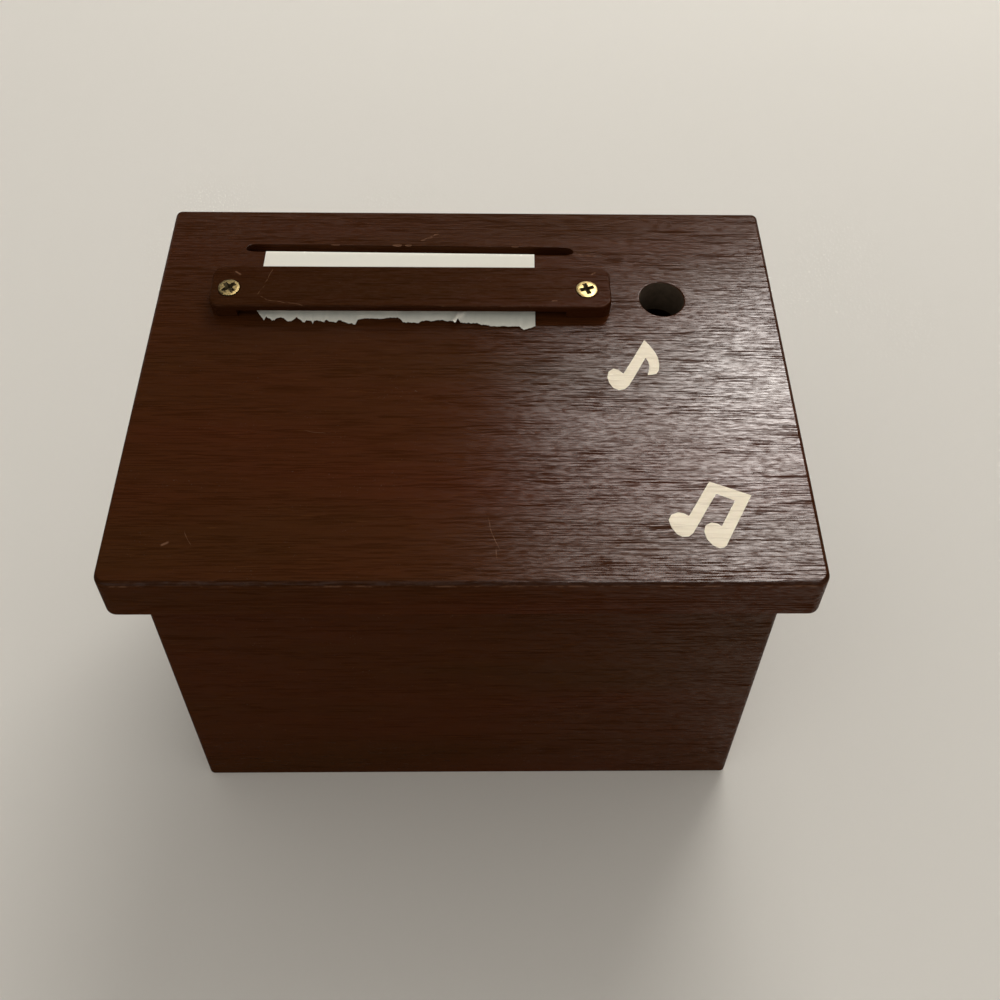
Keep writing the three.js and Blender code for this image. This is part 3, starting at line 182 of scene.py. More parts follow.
class MEMOBOX_PG_finishes(PropertyGroup):
    """Colours of the finishes."""

    lacquer_dark: tint("Lacquer, brown", "Browner tone of the lacquered wood", (0.046, 0.0158, 0.0043))
    lacquer_warm: tint("Lacquer, red", "Redder tone of the lacquered wood", (0.058, 0.0150, 0.0046))
    lacquer_worn: tint("Lacquer, worn", "Tone where the lacquer has rubbed thin", (0.180, 0.090, 0.050))
    print_tone: tint("Print", "Colour of the printed notes", (0.86, 0.78, 0.62))
    wood_pale: tint("Bare wood, pale", "Lighter tone of the bare wood", (0.60, 0.41, 0.22))
    wood_deep: tint("Bare wood, deep", "Darker tone of the bare wood", (0.40, 0.23, 0.10))
    paper_tone: tint("Paper", "Colour of the memo paper", (0.84, 0.82, 0.72))
    card_tone: tint("Card", "Colour of the card core", (0.36, 0.25, 0.15))
    brass: tint("Brass", "Colour of the movement's brass", (0.66, 0.47, 0.20))
    screw_brass: tint("Screw brass", "Colour of the tear bar's screws", (0.80, 0.61, 0.27))
    steel: tint("Steel", "Colour of the steel pieces", (0.50, 0.50, 0.50))
    casting: tint("Casting", "Colour of the cast bedplate", (0.38, 0.39, 0.41))
    plastic: tint("Fan plastic", "Colour of the governor's fan", (0.80, 0.76, 0.66))


class MEMOBOX_PG_stage(PropertyGroup):
    """The floor, the lamps and the camera."""

    floor: tint("Floor", "Colour of the floor", (0.66, 0.64, 0.59))
    surround: tint("Surround", "Colour of the light all round", (0.88, 0.84, 0.80))
    surround_strength: number("Surround strength", "Strength of the light all round", 0.60)
    window_strength: number("Window strength", "Brightness of the window in reflections", 24)
    key_power: number("Key lamp", "Power of the lamp behind at the right", 19.0, unit="POWER")
    fill_power: number("Fill lamp", "Power of the lamp at the front left", 0.9, unit="POWER")
    lens: number("Lens", "Focal length of the camera", 34.51, unit="CAMERA")


GROUPS = {
    "memobox_boards": MEMOBOX_PG_boards,
    "memobox_paper": MEMOBOX_PG_paper,
    "memobox_finishes": MEMOBOX_PG_finishes,
    "memobox_stage": MEMOBOX_PG_stage,
}


def finishes():
    """The settings of the finishes."""
    return bpy.context.scene.memobox_finishes


# ---- Modelling by hand ----


def only(piece=None):
    """Leaves edit mode and selects one piece, or nothing."""
    if bpy.context.object and bpy.context.object.mode != "OBJECT":
        bpy.ops.object.mode_set(mode="OBJECT")
    bpy.ops.object.select_all(action="DESELECT")
    if piece:
        piece.select_set(True)
        bpy.context.view_layer.objects.active = piece


def named(name):
    """The primitive that was just added, under its own name."""
    piece = bpy.context.object
    piece.name = piece.data.name = name
    return piece


def settle(piece, matrix=None):
    """Moves a piece by a matrix and writes its place into its mesh."""
    if matrix is not None:
        piece.matrix_world = matrix @ piece.matrix_world
    only(piece)
    bpy.ops.object.transform_apply(location=True, rotation=True, scale=True)
    return piece


def block(name, low, high):
    """A box between two corners, to be shaped further."""
    only()
    low, high = Vector(low), Vector(high)
    bpy.ops.mesh.primitive_cube_add(size=1, location=(low + high) / 2, scale=high - low)
    return settle(named(name))


def rod(name, radius, start, end, sides=32, end_radius=None):
    """A round rod, or a cone, between two points."""
    only()
    start, end = Vector(start), Vector(end)
    bpy.ops.mesh.primitive_cone_add(
        vertices=sides,
        radius1=radius,
        radius2=radius if end_radius is None else end_radius,
        depth=(end - start).length,
        location=(start + end) / 2,
        rotation=(end - start).to_track_quat("Z", "Y").to_euler(),
    )
    return settle(named(name))


def upright(name, radius, x, y, low, high, sides=32, end_radius=None):
    """A round rod, or a cone, that stands on a place between two heights."""
    return rod(name, radius, (x, y, low), (x, y, high), sides, end_radius)


@contextmanager
def shaping(piece, select="DESELECT"):
    """Edit mode on one piece, with nothing selected or with everything."""
    only(piece)
    bpy.ops.object.mode_set(mode="EDIT")
    bpy.ops.mesh.select_mode(type="VERT")
    bpy.ops.mesh.select_all(action=select)
    yield
    bpy.ops.object.mode_set(mode="OBJECT")


def choose(piece, kind, test):
    """Selects the vertices, edges or faces of the piece in edit mode that pass a test."""
    bpy.ops.mesh.select_mode(type=kind)
    bpy.ops.mesh.select_all(action="DESELECT")
    mesh = bmesh.from_edit_mesh(piece.data)
    for element in {"VERT": mesh.verts, "EDGE": mesh.edges, "FACE": mesh.faces}[kind]:
        if test(element):
            element.select_set(True)
    bmesh.update_edit_mesh(piece.data)


def turn_out():
    """Points the normals of the piece in edit mode outwards."""
    bpy.ops.mesh.select_all(action="SELECT")
    bpy.ops.mesh.normals_make_consistent(inside=False)


def turn_selected(angle, axis):
    """Turns what is selected about an axis through the origin."""
    bpy.ops.transform.rotate(value=angle, orient_axis=axis, center_override=(0, 0, 0))


def round_edges(piece, radius, segments, test):
    """Rounds the edges that pass a test of their two end points."""
    with shaping(piece):
        choose(piece, "EDGE", lambda edge: test(edge.verts[0].co, edge.verts[1].co))
        bpy.ops.mesh.bevel(offset=radius, segments=segments, affect="EDGES", clamp_overlap=True)


def apply_modifier(piece, kind, **settings):
    """Adds a modifier to a piece and applies it."""
    modifier = piece.modifiers.new(kind.title(), kind)
    for name, value in settings.items():
        setattr(modifier, name, value)
    only(piece)
    bpy.ops.object.modifier_apply(modifier=modifier.name)


def carve(piece, *cutters):
    """Cuts pieces out of a piece, and removes them."""
    for cutter in cutters:
        apply_modifier(piece, "BOOLEAN", object=cutter, operation="DIFFERENCE", solver="EXACT")
        bpy.data.objects.remove(cutter)


def soften(piece, width, segments=1, angle=32):
    """Breaks every edge that is sharper than an angle."""
    limits = {"limit_method": "ANGLE", "angle_limit": math.radians(angle), "use_clamp_overlap": True}
    apply_modifier(piece, "BEVEL", width=width, segments=segments, **limits)


def coil(piece, turns, height, steps, holes):
    """Winds an open outline about Z into a coil that climbs, and closes its ends."""
    turning = {"angle": 2 * math.pi * turns, "screw_offset": height, "use_merge_vertices": False}
    count = int(steps * turns)
    apply_modifier(piece, "SCREW", steps=count, render_steps=count, **turning)
    with shaping(piece, "SELECT"):
        bpy.ops.mesh.fill_holes(sides=holes)
        turn_out()


def dress(piece, *materials):
    """Gives a piece its materials in place of those it has."""
    piece.data.materials.clear()
    for material in materials:
        piece.data.materials.append(material)


def paint_faces(piece, index, test):
    """Gives the faces that pass a test of centre and normal one of the piece's materials."""
    with shaping(piece):
        choose(piece, "FACE", lambda face: test(face.calc_center_median(), face.normal))
        piece.active_material_index = index
        bpy.ops.object.material_slot_assign()


def smooth(piece, angle=35):
    """Smooths a piece up to an angle."""
    only(piece)
    bpy.ops.object.shade_smooth_by_angle(angle=math.radians(angle))
    apply_modifier(piece, "WEIGHTED_NORMAL", keep_sharp=True)


def finished(piece, body, slot, *materials, stands_for=(), angle=35):
    """Smooths a piece, gives it its materials and puts it on its body."""
    smooth(piece, angle)
    if materials:
        dress(piece, *materials)
    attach(piece, body)
    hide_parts(*stands_for)


def dressed(node, width, material, segments=2):
    """Makes a copy of a frame piece with its triangles merged and its edges broken, which stands for it."""
    only(frame["nodes"][node])
    bpy.ops.object.duplicate()
    piece = named(f"{node}_dressed")
    del piece["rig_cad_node"]
    piece.parent = None
    with shaping(piece, "SELECT"):
        bpy.ops.mesh.remove_doubles(threshold=SLIGHT)
        bpy.ops.mesh.dissolve_limited(angle_limit=math.radians(0.6))
        turn_out()
    soften(piece, width, segments)
    finished(piece, BODY_OF[node], SLOT_OF[node], material, stands_for=[node])


# ---- Material building ----


class Wire:
    """A node's output, which can be added, taken away, multiplied and divided."""

    def __init__(self, nodes, socket):
        self.nodes, self.socket = nodes, socket

    def __add__(self, other):
        return self.nodes.math("ADD", self, other)

    def __sub__(self, other):
        return self.nodes.math("SUBTRACT", self, other)

    def __rsub__(self, other):
        return self.nodes.math("SUBTRACT", other, self)

    def __mul__(self, other):
        return self.nodes.math("MULTIPLY", self, other)

    def __truediv__(self, other):
        return self.nodes.math("DIVIDE", self, other)

    def __abs__(self):
        return self.nodes.math("ABSOLUTE", self)


class Nodes:
    """Adds nodes to a tree, and links or sets their inputs."""

    def __init__(self, tree):
        self.tree = tree

    def feed(self, socket, value):
        """Links a socket to a wire, or sets its value."""
        if isinstance(value, Wire):
            self.tree.links.new(value.socket, socket)
        else:
            socket.default_value = value

    def add(self, kind, inputs=(), output=0, **settings):
        """The output of a new node of a kind, with its inputs and settings."""
        node = self.tree.nodes.new("ShaderNode" + kind)
        for name, value in settings.items():
            setattr(node, name, value)
        for name, value in dict(inputs).items():
            self.feed(node.inputs[name], value)
        return Wire(self, node.outputs[output])

    def all_of(self, wire):
        """All the outputs of the node that a wire comes from."""
        return [Wire(self, socket) for socket in wire.socket.node.outputs]

    def math(self, operation, first, second=0.0):
        """The result of a sum on one or two numbers."""
        return self.add("Math", {0: first, 1: second}, operation=operation)

    def span(self, value, low, high, to_low=0.0, to_high=1.0, smooth=False):
        """A number carried from one span to another and held inside it."""
        inputs = {"Value": value, "From Min": low, "From Max": high, "To Min": to_low, "To Max": to_high}
        return self.add("MapRange", inputs, interpolation_type="SMOOTHSTEP" if smooth else "LINEAR")

    def mix(self, factor, first, second):
        """A mixture of two colours."""
        return self.add("Mix", {0: factor, 6: first, 7: second}, output=2, data_type="RGBA")

    def layers(self, tone, *rows):
        """A colour with others laid over it, each by a mask."""
        for mask, over in rows:
            tone = self.mix(mask, tone, over)
        return tone

    def stretch(self, vector, scale, place=(0, 0, 0)):
        """Coordinates multiplied along each axis."""
        return self.add("Mapping", {"Vector": vector, "Scale": scale, "Location": place})

    def turned(self, vector, place, turn):
        """Coordinates measured from a place, along turned axes."""
        return self.add("Mapping", {"Vector": vector, "Location": place, "Rotation": turn}, vector_type="TEXTURE")

    def noise(self, vector, scale, detail=2.0, roughness=0.5, distortion=0.0, place=(0, 0, 0)):
        """A soft random pattern, with one scale or with one for each axis."""
        if isinstance(scale, tuple):
            vector, scale = self.stretch(vector, scale, place), 1.0
        inputs = {"Vector": vector, "Scale": scale, "Detail": detail, "Roughness": roughness}
        return self.add("TexNoise", {**inputs, "Distortion": distortion})

    def parts(self, vector):
        """The three parts of a vector."""
        return self.all_of(self.add("SeparateXYZ", {0: vector}))

    def radius(self, vector):
        """The distance from the X axis."""
        _, y, z = self.parts(vector)
        return self.math("SQRT", y * y + z * z)

    def group(self, tree, **inputs):
        """The outputs of a node group, whose inputs are named with underscores for spaces."""
        inputs = {name.replace("_", " "): value for name, value in inputs.items()}
        return self.all_of(self.add("Group", inputs, node_tree=tree))


class Finish(Nodes):
    """A material in the making: its nodes, its shader's inputs and its object coordinates."""

    def __init__(self, name, roughness, metallic=0.0, specular=0.5, coat_roughness=0.1):
        self.material = bpy.data.materials.new(name)
        self.material.use_nodes = True
        super().__init__(self.material.node_tree)
        self.shader = self.tree.nodes["Principled BSDF"].inputs
        self.shader["Roughness"].default_value = roughness
        self.shader["Metallic"].default_value = metallic
        self.shader["Specular IOR Level"].default_value = specular
        self.shader["Coat Roughness"].default_value = coat_roughness
        self.place = self.add("TexCoord", output="Object")

    def done(self, tone, height=None, depth=0.0, roughness=None):
        """The material, with its colour, a bump of a depth in metres and its roughness."""
        self.feed(self.shader["Base Color"], tone)
        if roughness is not None:
            self.feed(self.shader["Roughness"], roughness)
        if height is not None:
            self.feed(self.shader["Normal"], self.add("Bump", {"Height": height, "Distance": depth, "Strength": 1}))
        return self.material


def shade(tone, factor=1.0):
    """A colour made darker or lighter by a factor, with its alpha."""
    return (*(min(1.0, part * factor) for part in tone), 1.0)


def once(build):
    """Builds a group or a material the first time it is asked for, and finds it after that."""
    kept = {}

    def find(*values):
        if values not in kept:
            kept[values] = build(*values)
        return kept[values]

    return find


def node_group(name, inputs, masks):
    """Makes a node group, built once, out of a function that gives its masks for its inputs."""

    def wrap(build):
        def make():
            tree = bpy.data.node_groups.new(name, "ShaderNodeTree")
            for socket, kind in inputs.items():
                tree.interface.new_socket(name=socket, in_out="INPUT", socket_type="NodeSocket" + kind)
            for socket in masks:
                tree.interface.new_socket(name=socket, in_out="OUTPUT", socket_type="NodeSocketFloat")
            nodes = Nodes(tree)
            source, target = tree.nodes.new("NodeGroupInput"), tree.nodes.new("NodeGroupOutput")
            given = [Wire(nodes, source.outputs[socket]) for socket in inputs]
            for socket, value in zip(masks, build(nodes, *given)):
                nodes.feed(target.inputs[socket], value)
            return tree

        return once(make)

    return wrap


@node_group("Wood grain", {"Vector": "Vector", "Pore Cover": "Float"}, ("Figure", "Fibres", "Pores"))
def grain_group(nodes, vector, cover):
    """Figure, fibres and open pores of wood whose grain runs along X."""
    waves = nodes.noise(vector, (9, 48, 48), 3, 0.55)
    fine = nodes.noise(vector, (240, 3300, 3300), 2, 0.6)
    long_pores = nodes.noise(vector, (105, 4000, 4000), 2, 0.5, 0.6, place=(7, 3, 1))
    patches = nodes.span(nodes.noise(vector, (20, 260, 260)), 0.26, 0.52)
    pores = nodes.span(long_pores, cover - 0.05, cover, 1.0, 0.0)
    return nodes.span(waves, 0.32, 0.68), nodes.span(fine, 0.25, 0.75), pores * patches


@node_group("Rounded edges", {"Normal": "Vector"}, ("Mask", "Shaded Shoulder", "Arris"))
def rounding_group(nodes, normal):
    """Where a surface turns over an edge, and how far it has turned from the lid's top to its front; the upper band
    of the turn is what the lid darkens as painted shade.
    """
    tilted = nodes.add("VectorRotate", {"Vector": normal, "Angle": -SLOPE}, rotation_type="X_AXIS")
    most, *others = [abs(part) for vector in (normal, tilted) for part in nodes.parts(vector)]
    for other in others:
        most = nodes.math("MAXIMUM", most, other)
    _, back, up = nodes.parts(tilted)
    forward = nodes.span(back, -0.05, -0.20)
    # The upper band of the turn, which the lid darkens as painted shade
    shaded_shoulder = nodes.span(up, 0.995, 0.95) * nodes.span(up, 0.50, 0.68) * forward
    arris = nodes.span(up, 0.66, 0.50) * nodes.span(up, 0.27, 0.36) * forward
    return nodes.span(most, 0.995, 0.85), shaded_shoulder, arris


@node_group("Handling", {"Vector": "Vector"}, ("Smudge", "Dust"))
def handling_group(nodes, vector):
    """Smudges and fine dust left by handling."""
    smudge = nodes.span(nodes.noise(vector, 55, 4, 0.6), 0.35, 0.72, smooth=True)
    where = nodes.span(nodes.noise(vector, 140), 0.45, 0.70)
    return smudge, nodes.span(nodes.noise(vector, 2600, 1), 0.70, 0.78) * where


SCRATCH_INPUTS = {"Vector": "Vector", "Place": "Vector", "Turn": "Float", "Length": "Float", "Width": "Float"}


@node_group("Scratch", SCRATCH_INPUTS, ("Mask",))
def scratch_group(nodes, vector, place, turn, reach, width):
    """One fine, slightly wandering scratch on a face that lies in X and Y."""
    moved = nodes.add("VectorMath", {0: vector, 1: place}, operation="SUBTRACT")
    turned = nodes.add("VectorRotate", {"Vector": moved, "Angle": turn * -1.0}, rotation_type="Z_AXIS")
    along, across, _ = nodes.parts(turned)
    sway = (nodes.noise(turned, 190) - 0.5) * 0.0022
    line = nodes.span(abs(across - sway) / width, 0.25, 0.75, 1.0, 0.0)
    ends = nodes.span(abs(along) / reach, 0.30, 0.50, 1.0, 0.0)
    return [line * ends * nodes.span(nodes.noise(vector, 900), 0.36, 0.52)]


@node_group("Brushed metal", {"Vector": "Vector"}, ("Lines", "Dulling"))
def brushed_group(nodes, vector):
    """Fine lines along X, as left by a file or a brush, and cloudy dulling."""
    lines = nodes.noise(vector, (250, 9000, 9000))
    return lines, nodes.span(nodes.noise(vector, 420, 4, 0.6), 0.35, 0.70)


# ---- Finishes ----

# Scratches: across, from the lid's front edge, turn in degrees, length and width, in millimetres
SCRATCHES = {
    "lid": (
        (5.1, 9.9, -72, 7.4, 0.13), (5.8, 6, -88, 2.6, 0.12), (-52.3, 8.1, 28, 1.7, 0.4),
        (-48.2, 9, -60, 3.4, 0.08), (25.4, 77.5, -6, 4.2, 0.3), (-8, 82.9, 29, 3.4, 0.22),
        (-8.5, 82.4, 14, 2.0, 0.18), (-27.8, 31.7, -6, 5.2, 0.06), (17.6, 48.5, 12, 4.0, 0.06),
        (46, 44.9, -63, 3.0, 0.1), (53.4, 61.2, -58, 3.2, 0.1),
    ),
    "bar": (
        (-40.2, 68.1, 74, 4.8, 0.12), (-41.5, 64, 62, 3.0, 0.12), (-40.8, 61.9, -38, 2.0, 0.12),
        (-38.1, 61, -11, 4.6, 0.12), (-34.3, 60.4, -14, 4.0, 0.1), (-46.7, 68.6, -40, 1.8, 0.4),
        (25.9, 68.9, 30, 1.4, 0.4), (17.6, 61.4, 0, 1.4, 0.22),
    ),
}

# How each lacquered part is turned to its grain, where its grain is taken from, how much of it is pores,
# how light its stain is, how much lacquer it has and how rough the lacquer is
LACQUERED = {
    "lid": ((SLOPE, 0, 0), (0, 0, 0), 0.48, 1.0, 0.45, 0.17),
    "bar": ((SLOPE, 0, 0), (0.21, 0.05, 0), 0.42, 0.72, 0.10, 0.30),
    "long": ((0, 0, 0), (0.4, 0.3, 0.1), 0.44, 1.0, 0.45, 0.20),
    "side": ((0, 0, math.pi / 2), (0.7, 0.9, 0.2), 0.44, 1.0, 0.45, 0.20),
}


def scratches(nodes, own, part):
    """One mask for all the scratches of a part."""
    marks = 0.0
    for x, front, angle, reach, width in SCRATCHES[part]:
        place, turn = (x * MM, up_lid(front), 0), math.radians(angle)
        mark = nodes.group(
            scratch_group(), Vector=own, Place=place, Turn=turn, Length=reach * MM, Width=width * MM
        )[0]
        marks = nodes.math("MAXIMUM", marks, mark)
    return marks


@once
def lacquer(part):
    """Dark red-brown lacquered wood. part is lid, bar, long (grain across) or side (grain front to back)."""
    colours = finishes()
    turn, place_in_log, cover, stain, lacquer_cover, lacquer_roughness = LACQUERED[part]
    nodes = Finish(f"Lacquered wood {part}", 0.6, specular=0.0, coat_roughness=lacquer_roughness)
    own = nodes.turned(nodes.place, LID_ORIGIN if part in SCRATCHES else (0, 0, 0), turn)
    moved = nodes.stretch(own, (1, 1, 1), place_in_log)
    figure, fibres, pores = nodes.group(grain_group(), Vector=moved, Pore_Cover=cover)
    edges, shaded_shoulder, arris = nodes.group(rounding_group(), Normal=nodes.add("TexCoord", output="Normal"))
    smudge, dust = nodes.group(handling_group(), Vector=nodes.place)
    flecks = nodes.span(nodes.noise(moved, (170, 2600, 2600), place=(3, 5, 2)), 0.66, 0.74)
    rubbed = nodes.span(nodes.noise(own, 700, 3, 0.65), 0.55, 0.68)

    dark, worn = shade(colours.lacquer_dark, stain)[:3], shade(colours.lacquer_worn)
    tone = nodes.layers(
        shade(dark),
        (figure, shade(colours.lacquer_warm, stain)),
        (fibres * 0.22, shade(dark, 0.55)),
        (pores * 0.34, shade(dark, 0.25)),
        (flecks * 0.40, shade(dark, 1.9)),
        (edges * rubbed * 0.16, worn),
    )
    if part == "lid":
        # Painted shade: a dark band where the front edge turns away from the light; below it, lighter dashes of
        # wear on the arris
        dashes = nodes.span(nodes.noise(own, (260, 900, 900), 3, 0.6), 0.50, 0.60)
        tone = nodes.layers(tone, (shaded_shoulder * 0.45, shade(dark, 0.35)), (arris * dashes * 0.45, worn))
    if part in SCRATCHES:
        tone = nodes.mix(scratches(nodes, own, part) * 0.75, tone, worn)
    tone = nodes.mix(dust * 0.12, tone, (0.26, 0.23, 0.20, 1))

    glints = nodes.noise(moved, (560, 2900, 2900), 2, 0.6)
    cover = nodes.span(glints, 0.34, 0.68, 0.32, 1.80) * lacquer_cover * (1.0 - pores * 0.95)
    cover = cover * nodes.span(fibres, 0, 1, 1.15, 0.75) * nodes.span(smudge, 0, 1, 1.0, 0.85)
    nodes.feed(nodes.shader["Coat Weight"], cover)
    return nodes.done(tone, fibres * 0.4 - pores, 0.03 * MM)


@once
def thin_stain():
    """Inside faces, where stain was wiped on without lacquer."""
    colours = finishes()
    nodes = Finish("Stained inside faces", 0.7, specular=0.3)
    figure, fibres, pores = nodes.group(grain_group(), Vector=nodes.place, Pore_Cover=0.42)
    tone = nodes.layers(
        shade(colours.lacquer_dark, 2.2),
        (figure, shade(colours.lacquer_warm, 1.5)),
        (fibres * 0.35, shade(colours.lacquer_worn)),
        (pores * 0.6, shade(colours.lacquer_dark)),
    )
    return nodes.done(tone, fibres - pores, 0.05 * MM, nodes.span(fibres, 0, 1, 0.6, 0.8))


@once
def greyed_bore():
    """The wall of the pencil hole, greyed by many pencils."""
    nodes = Finish("Pencil hole wall", 0.6, specular=0.4)
    grime = nodes.noise(nodes.place, 900, 3, 0.6)
    return nodes.done(nodes.mix(grime, (0.030, 0.019, 0.011, 1), (0.105, 0.078, 0.052, 1)), grime, 0.04 * MM)


@once
def torn_wood():
    """Bare, broken wood in a chip."""
    nodes = Finish("Chipped wood", 0.75, specular=0.3)
    fibres = nodes.noise(nodes.place, (300, 3000, 3000))
    return nodes.done(nodes.mix(fibres, shade(finishes().lacquer_warm), (0.24, 0.12, 0.06, 1)), fibres, 0.06 * MM)


@once
def bare_wood(turn):
    """Sanded pale softwood, its grain turned about the upright by an angle in degrees."""
    pale, deep = finishes().wood_pale, finishes().wood_deep
    nodes = Finish(f"Bare wood turned {turn}", 0.65, specular=0.35)
    own = nodes.turned(nodes.place, (0, 0, 0), (0, 0, math.radians(turn)))
    figure, fibres, pores = nodes.group(grain_group(), Vector=own, Pore_Cover=0.36)
    bands = nodes.span(nodes.noise(own, (6, 330, 330), 2, 0.4), 0.42, 0.62, smooth=True)
    tone = nodes.layers(
        shade(pale),
        (bands * 0.8, shade(deep)),
        (fibres * 0.25, shade(pale, 1.15)),
        (pores * 0.5, shade(deep, 0.6)),
        (figure * 0.12, shade(deep, 0.8)),
    )
    return nodes.done(tone, fibres - pores, 0.05 * MM, nodes.span(fibres, 0, 1, 0.58, 0.75))


@once
def metal(name, tone, roughness, dull=0.35):
    """Machined or drawn metal with brushed lines and cloudy dulling."""
    nodes = Finish(name, roughness, metallic=1.0)
    lines, dulling = nodes.group(brushed_group(), Vector=nodes.place)
    surface = nodes.layers(
        shade(tone),
        (dulling * 0.8, shade(tone, 1 - dull)),
        (lines * 0.18, shade(tone, 1.35)),
    )
    rough = nodes.span(lines, 0.3, 0.7, roughness - 0.06, roughness + 0.08) + dulling * 0.14
    return nodes.done(surface, lines, 0.004 * MM, rough)


@once
def shaded_recess_metal():
    """Metal in the recess of a screw, dark with old lacquer and grime, and darker still as painted shade."""
    nodes = Finish("Dirty and shaded recess", 0.7, metallic=0.4, specular=0.2)
    dirt_and_shade = nodes.noise(nodes.place, 2600, 3, 0.6)
    return nodes.done(nodes.mix(dirt_and_shade, (0.014, 0.010, 0.005, 1), (0.11, 0.08, 0.035, 1)), dirt_and_shade, 0.02 * MM)


def movement_brass():
    """Brass of the movement."""
    return metal("Movement brass", tuple(finishes().brass), 0.26)


def plain_steel():
    """Bright steel of the movement's arbors, comb and screws."""
    return metal("Plain steel", tuple(finishes().steel), 0.30)


def hinge_brass():
    """Slightly dulled brass of the hinges."""
    return metal("Hinge brass", shade(finishes().brass, 0.85)[:3], 0.38, 0.45)


@once
def pinned_brass():
    """The cylinder: turned brass with steel pins standing proud of it."""
    brass, steel = finishes().brass, finishes().steel
    nodes = Finish("Pinned cylinder", 0.24, metallic=1.0)
    centred = nodes.stretch(nodes.place, (1, 1, 1), -CYLINDER_AXIS)
    pins = nodes.span(nodes.radius(centred), 6.52 * MM, 6.56 * MM)
    turned = nodes.noise(centred, (9000, 60, 60))
    surface = nodes.layers(shade(brass), (turned * 0.5, shade(brass, 0.72)), (pins, shade(steel)))
    return nodes.done(surface, turned, 0.004 * MM, nodes.span(turned, 0.3, 0.7, 0.18, 0.32))


@once
def cast_zinc():
    """Die-cast grey metal with a faint orange-peel skin."""
    tone = finishes().casting
    nodes = Finish("Cast bedplate", 0.45, metallic=0.9)
    skin = nodes.noise(nodes.place, 1500, 3, 0.6)
    cloud = nodes.noise(nodes.place, 160, 4, 0.6)
    surface = nodes.mix(nodes.span(cloud, 0.3, 0.7), shade(tone), shade(tone, 0.68))
    return nodes.done(surface, skin, 0.02 * MM, nodes.span(cloud, 0.3, 0.7, 0.38, 0.58))


@once
def paper():
    """Uncoated white paper with cloudy fibres, and painted shade greying its torn end in front of the tear bar."""
    tone = finishes().paper_tone
    nodes = Finish("Memo paper", 0.85, specular=0.25)
    cloud = nodes.noise(nodes.place, 520, 4, 0.65)
    fibre = nodes.noise(nodes.place, 5200, 3, 0.6)
    surface = nodes.layers(
        shade(tone),
        (nodes.span(cloud, 0.3, 0.7) * 0.30, shade(tone, 0.93)),
        (nodes.span(fibre, 0.55, 0.75) * 0.25, shade(tone, 0.88)),
        # Painted shade: grey laid over the torn end, where the tear bar shades the paper
        (nodes.add("Attribute", output="Fac", attribute_name="PaintedShade"), (0.40, 0.42, 0.37, 1)),
    )
    return nodes.done(surface, fibre + cloud, 0.012 * MM, nodes.span(fibre, 0.3, 0.7, 0.78, 0.92))


@once
def wound_paper():
    """The roll: smooth round its outside, and fine rings of edges on its two ends."""
    tone = finishes().paper_tone
    nodes = Finish("Wound paper", 0.85, specular=0.25)
    centred = nodes.stretch(nodes.place, (1, 1, 1), -ROLL_AXIS)
    radius = nodes.radius(centred)
    wandering = radius + nodes.noise(centred, 90) * (0.7 * MM)
    ring, broad = (
        nodes.add("TexNoise", {"W": value, "Scale": scale, "Detail": detail}, noise_dimensions="1D")
        for value, scale, detail in ((wandering, 3600.0, 2.0), (radius, 420.0, 3.0))
    )
    across = nodes.parts(nodes.add("TexCoord", output="Normal"))[0]
    ends = nodes.span(abs(across), 0.7, 0.95)
    lines = nodes.span(ring, 0.40, 0.62, 1.0, 0.0) * ends
    bands = nodes.span(broad, 0.35, 0.7) * ends
    surface = nodes.layers(shade(tone), (lines * 0.42, shade(tone, 0.55)), (bands * 0.25, shade(tone, 0.72)))
    height = nodes.noise(nodes.place, 4200) - lines * 2.0
    return nodes.done(surface, height, 0.03 * MM, nodes.span(ring, 0.3, 0.7, 0.78, 0.92))


@once
def card():
    """Grey-brown card, wound on the slant."""
    tone = finishes().card_tone
    nodes = Finish("Card core", 0.9, specular=0.2)
    x, y, z = nodes.parts(nodes.stretch(nodes.place, (1, 1, 1), -ROLL_AXIS))
    seam = nodes.math("FRACT", x * 42.0 + nodes.math("ARCTAN2", z, y) / (2 * math.pi))
    gap = nodes.span(abs(seam - 0.5), 0.0, 0.03, 1.0, 0.0)
    fibre = nodes.noise(nodes.place, 1900, 4, 0.7)
    surface = nodes.layers(
        shade(tone), (nodes.span(fibre, 0.3, 0.7), shade(tone, 0.7)), (gap * 0.6, shade(tone, 0.35))
    )
    return nodes.done(surface, fibre - gap, 0.04 * MM)


@once
def fan_plastic():
    """Cream moulded plastic with a faint mould grain."""
    tone = finishes().plastic
    nodes = Finish("Fan plastic", 0.42)
    grain = nodes.noise(nodes.place, 3200)
    cloud = nodes.noise(nodes.place, 300)
    surface = nodes.mix(nodes.span(cloud, 0.3, 0.7), shade(tone), shade(tone, 0.88))
    return nodes.done(surface, grain, 0.01 * MM, nodes.span(grain, 0.3, 0.7, 0.36, 0.50))


@once
def print_ink():
    """Cream ink printed on the lid: the grain shows through it, and it is thin over open pores."""
    nodes = Finish("Cream print", 0.5, specular=0.35)
    own = nodes.turned(nodes.place, LID_ORIGIN, (SLOPE, 0, 0))
    _, fibres, pores = nodes.group(grain_group(), Vector=own, Pore_Cover=0.43)
    thin = nodes.span(nodes.noise(own, (160, 1400, 1400), 3, 0.6), 0.40, 0.68)
    tone = nodes.layers(
        shade(finishes().print_tone),
        (thin * 0.22, (0.62, 0.50, 0.33, 1)),
        (pores * 0.20, (0.30, 0.20, 0.12, 1)),
    )
    return nodes.done(tone, fibres * 0.22 - pores, 0.025 * MM, nodes.span(fibres, 0, 1, 0.45, 0.6))


# ---- Lid and tear bar ----

